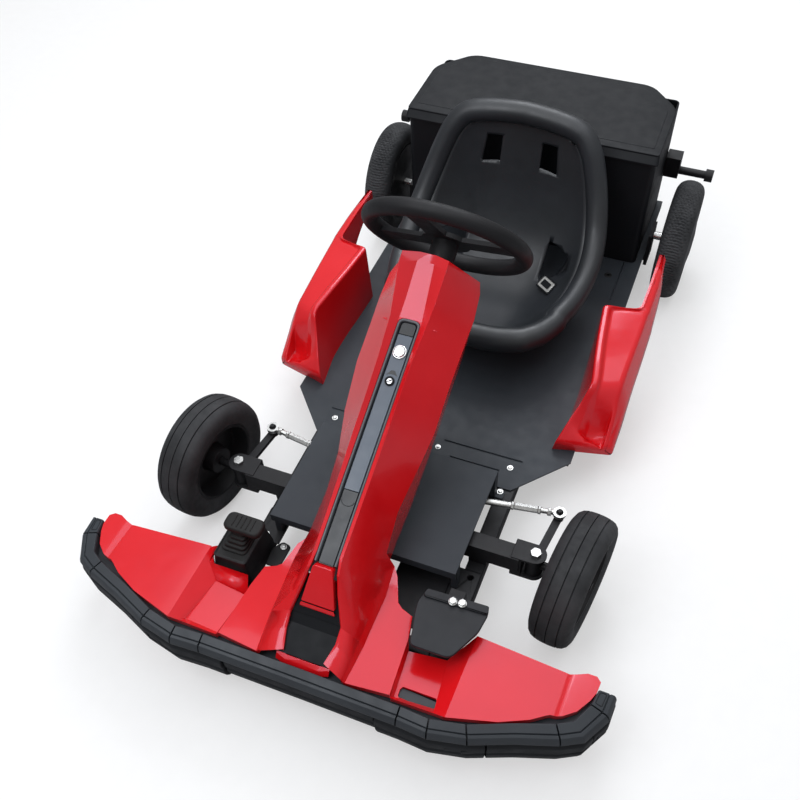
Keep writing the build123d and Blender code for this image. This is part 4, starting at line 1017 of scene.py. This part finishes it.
def make_buckle():
    body = buckle_part(23, 16, 4, -4, 7).sweep(STALK, 9, 10)
    round_edges(body.build("belt_buckle", "trim_black", smooth=False), 1.5)
    start, end = [BUCKLE @ Vector(p) for p in BUCKLE_ROD]
    trim = buckle_part(19, 12, 3, 7, 8)
    trim.lathe([(0, 2.2), (28, 2.2)], frame_at(start, end - start), 12, caps=True)
    round_edges(trim.build("buckle_plate", "zinc", smooth=False), 0.4, 2)
    buckle_part(13, 7, 2, 8, 8.8).build("buckle_button", "trim_black", smooth=False)


# Holes of the pan, which have a dark back and a raised edge
HOLES = [(230, 431), (-230, 431)]
HOLE_BACK_Z, PAN_TOP_Z = 97.5, 101
HOLE_BACK = [(-6, 13), (0, 13)]
GROMMET = [(0, 3.6), (0.5, 3.8), (0.8, 4.4), (0.8, 7.6), (0.4, 8.4), (0, 8.6)]


def make_hole_backs():
    backs, rings = Shape(), Shape()
    for hole in HOLES:
        backs.lathe(HOLE_BACK, upright((*hole, HOLE_BACK_Z)), 24, caps=True)
        rings.lathe(GROMMET, upright((*hole, PAN_TOP_Z)), 28)
    backs.build("hole_backs", "rubber", smooth=False)
    rings.build("hole_grommets", "rubber")


# Tyres: half of each section, from the rim to the middle of the tread, as (across, radius)
FRONT_HALF = [(-33, 80), (-37, 86), (-39, 96), (-38.6, 106), (-35, 114), (-29, 119.5), (-20.8, 122.4),
              (-20.2, 119.6), (-18.8, 119.6), (-18.2, 122.8), (-8, 123.8), (-0.8, 124), (-0.5, 120.6)]
REAR_HALF = [(-26, 88), (-31, 98), (-31.6, 108), (-29.5, 117), (-24, 125.5), (-15, 131), (-5, 133.3)]
# Degrees by which each front wheel is steered at rest
STEERED = {"left": -7.4, "right": -8.4}
FRONT_STEPS = 160
REAR_STEPS, REAR_SECTION = 816, 40
TREAD_HALF, TREAD_END = 27, 1.05
# Curved sipes of the rear tread: how many around, how deep, and how they lean
SIPES, SIPE_DEPTH = 34, 3.8
SIPE_LEAN, SIPE_CURVE, SIPE_BEND = 0.5, 1.9, 1.35
# How far past the middle a sipe starts, and how soon it fades in there and out at its end
SIPE_START, SIPE_FADE_IN, SIPE_FADE_OUT = 0.12, 0.1, 0.16
# Long and short sipes in turn: offset, reach across, and width
SIPE_KINDS = [(0, 1, 0.17), (0.5, 0.62, 0.13)]


def whole(half):
    """A section from its half and the mirror image of it."""
    return half + [(-x, r) for x, r in reversed(half)]


def wheel_place(name, lean=0):
    """Matrix in mm at a tyre's centre whose Z is the wheel's axis, pointing outwards."""
    low_corner, high_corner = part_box(name)
    centre = (Vector(low_corner) + Vector(high_corner)) / 2 / MM
    out = Vector((math.copysign(1, centre.x), 0, 0))
    out.rotate(Matrix.Rotation(math.radians(lean), 3, "Z"))
    return frame_at(centre, out, (0, 0, 1))


def make_front_tyres():
    section = whole(FRONT_HALF)
    for side, lean in STEERED.items():
        tyre = Shape().lathe([*section, section[0]], wheel_place(f"front_tyre_{side}", lean), FRONT_STEPS)
        obj = tyre.build(f"front_tread_{side}", "tyre", f"front_wheel_{side}")
        round_edges(obj, 0.5, 2, 30)
        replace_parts(obj, f"front_tyre_{side}")


def sipe_depth(turn, across):
    """Depth of the sipes at a share of a turn, and a place across the tread from -1 to 1."""
    if abs(across) >= TREAD_END:
        return 0
    depth = 0
    for side, start in ((1, 0), (-1, 0.5)):
        s = across * side
        if s < -SIPE_START:
            continue
        phase = turn * SIPES - SIPE_CURVE * max(s, 0) ** SIPE_BEND - SIPE_LEAN * max(s, 0) + start
        for offset, reach, width in SIPE_KINDS:
            away = abs((phase + offset + 0.5) % 1.0 - 0.5)
            fade = min(1, (reach - s) / SIPE_FADE_OUT, (s + SIPE_START) / SIPE_FADE_IN)
            line = max(0, 1.0 - away / (width * 0.5))
            depth = max(depth, min(1, line * 1.8) * max(0, fade))
    return depth * SIPE_DEPTH


def make_rear_tyres():
    section = curve_through([(r, x, 0) for x, r in whole(REAR_HALF)], REAR_SECTION)
    for side in ("left", "right"):
        place = wheel_place(f"rear_tyre_{side}")
        rings = []
        for p in section:
            ring = []
            for i in range(REAR_STEPS):
                turn = i / REAR_STEPS
                radius = p.x - sipe_depth(turn, p.y / TREAD_HALF)
                angle = 2 * math.pi * turn
                ring.append(place @ Vector((radius * math.cos(angle), radius * math.sin(angle), p.y)))
            rings.append(ring)
        tyre = Shape().rows([*rings, rings[0]], closed=True)
        obj = tyre.build(f"rear_tread_{side}", "tyre", f"rear_wheel_{side}", 0.01)
        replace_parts(obj, f"rear_tyre_{side}")


# Stage: floor, light and world

FLOOR_SIZE = 14
# The floor is paper white, brighter where the camera sees it, and darker in reflections
PAPER = [(0.88, 0.88, 0.88, 1), (0.9, 0.9, 0.9, 1)]
REFLECTED = (0.3, 0.3, 0.31, 1)
GLOW, GLOW_SHARE = 1.06, 0.42
# The world is dim near the floor and paler above, and white where the camera sees it
WORLD = {"From Min": -0.1, "From Max": 0.7, "To Min": 0.14, "To Max": 0.55}
# Square soft lamps: place, what they face, size and power
LAMP_COLOR = (0.92, 0.95, 1)
LAMPS = {"above": ((-0.1, 0.5, 2.7), (-0.1, 0.5, 0.1), 3, 38),
         "key": ((-0.5, 2.6, 2.8), (0, 0, 0.1), 1.6, 44),
         "front": ((-0.9, -1.55, 2.6), (-0.1, -0.2, 0.2), 1.5, 26)}


def make_stage():
    bpy.ops.mesh.primitive_plane_add(size=FLOOR_SIZE)
    floor = bpy.context.object
    floor.name = "floor"
    s = Shader("floor")
    path = s.add("ShaderNodeLightPath").outputs
    inputs = {0: path["Is Camera Ray"], 1: GLOW_SHARE}
    share = s.add("ShaderNodeMath", inputs, operation="MULTIPLY", use_clamp=True)
    paper = s.blend(s.spread(s.noise(30), 0, 1), *PAPER)
    paper = s.blend(path["Is Glossy Ray"], paper, REFLECTED)
    s.set(Base_Color=paper, Roughness=0.9, Specular_IOR_Level=0.1)
    glow = s.add("ShaderNodeEmission", {"Color": rgba(WHITE), "Strength": GLOW})
    mix = s.add("ShaderNodeMixShader", {0: share.outputs[0], 1: s.base.outputs[0], 2: glow.outputs[0]})
    out = next(n for n in s.tree.nodes if n.type == "OUTPUT_MATERIAL")
    s.feed(out.inputs["Surface"], mix.outputs[0])
    floor.data.materials.append(s.material)


def make_light():
    scene.world = bpy.data.worlds.new("studio")
    scene.world.use_nodes = True
    sky = Tree(scene.world.node_tree)
    place = sky.add("ShaderNodeTexCoord").outputs["Generated"]
    up = sky.add("ShaderNodeSeparateXYZ", {0: place}).outputs["Z"]
    dim = sky.add("ShaderNodeMapRange", {"Value": up, **WORLD}).outputs[0]
    seen = sky.add("ShaderNodeLightPath").outputs["Is Camera Ray"]
    strength = sky.add("ShaderNodeMapRange", {"Value": seen, "To Min": dim, "To Max": 1.0}).outputs[0]
    back = sky.tree.nodes["Background"].inputs
    sky.feed(back["Color"], rgba(WHITE))
    sky.feed(back["Strength"], strength)
    for name, (at, target, size, power) in LAMPS.items():
        data = bpy.data.lights.new(name, "AREA")
        data.shape, data.size, data.energy, data.color = "SQUARE", size, power, LAMP_COLOR
        light = bpy.data.objects.new(name, data)
        light.location = at
        light.rotation_euler = (Vector(target) - Vector(at)).to_track_quat("-Z", "Y").to_euler()
        scene.collection.objects.link(light)


for make in (make_camera, dress_cad, make_nose, make_dash, make_bumper, make_seat, make_pods, make_insert,
             make_pedals, make_lid, make_fasteners, make_tie_rods, make_buckle, make_hole_backs,
             make_front_tyres, make_rear_tyres, make_stage, make_light):
    make()
scene.view_settings.view_transform = "Standard"
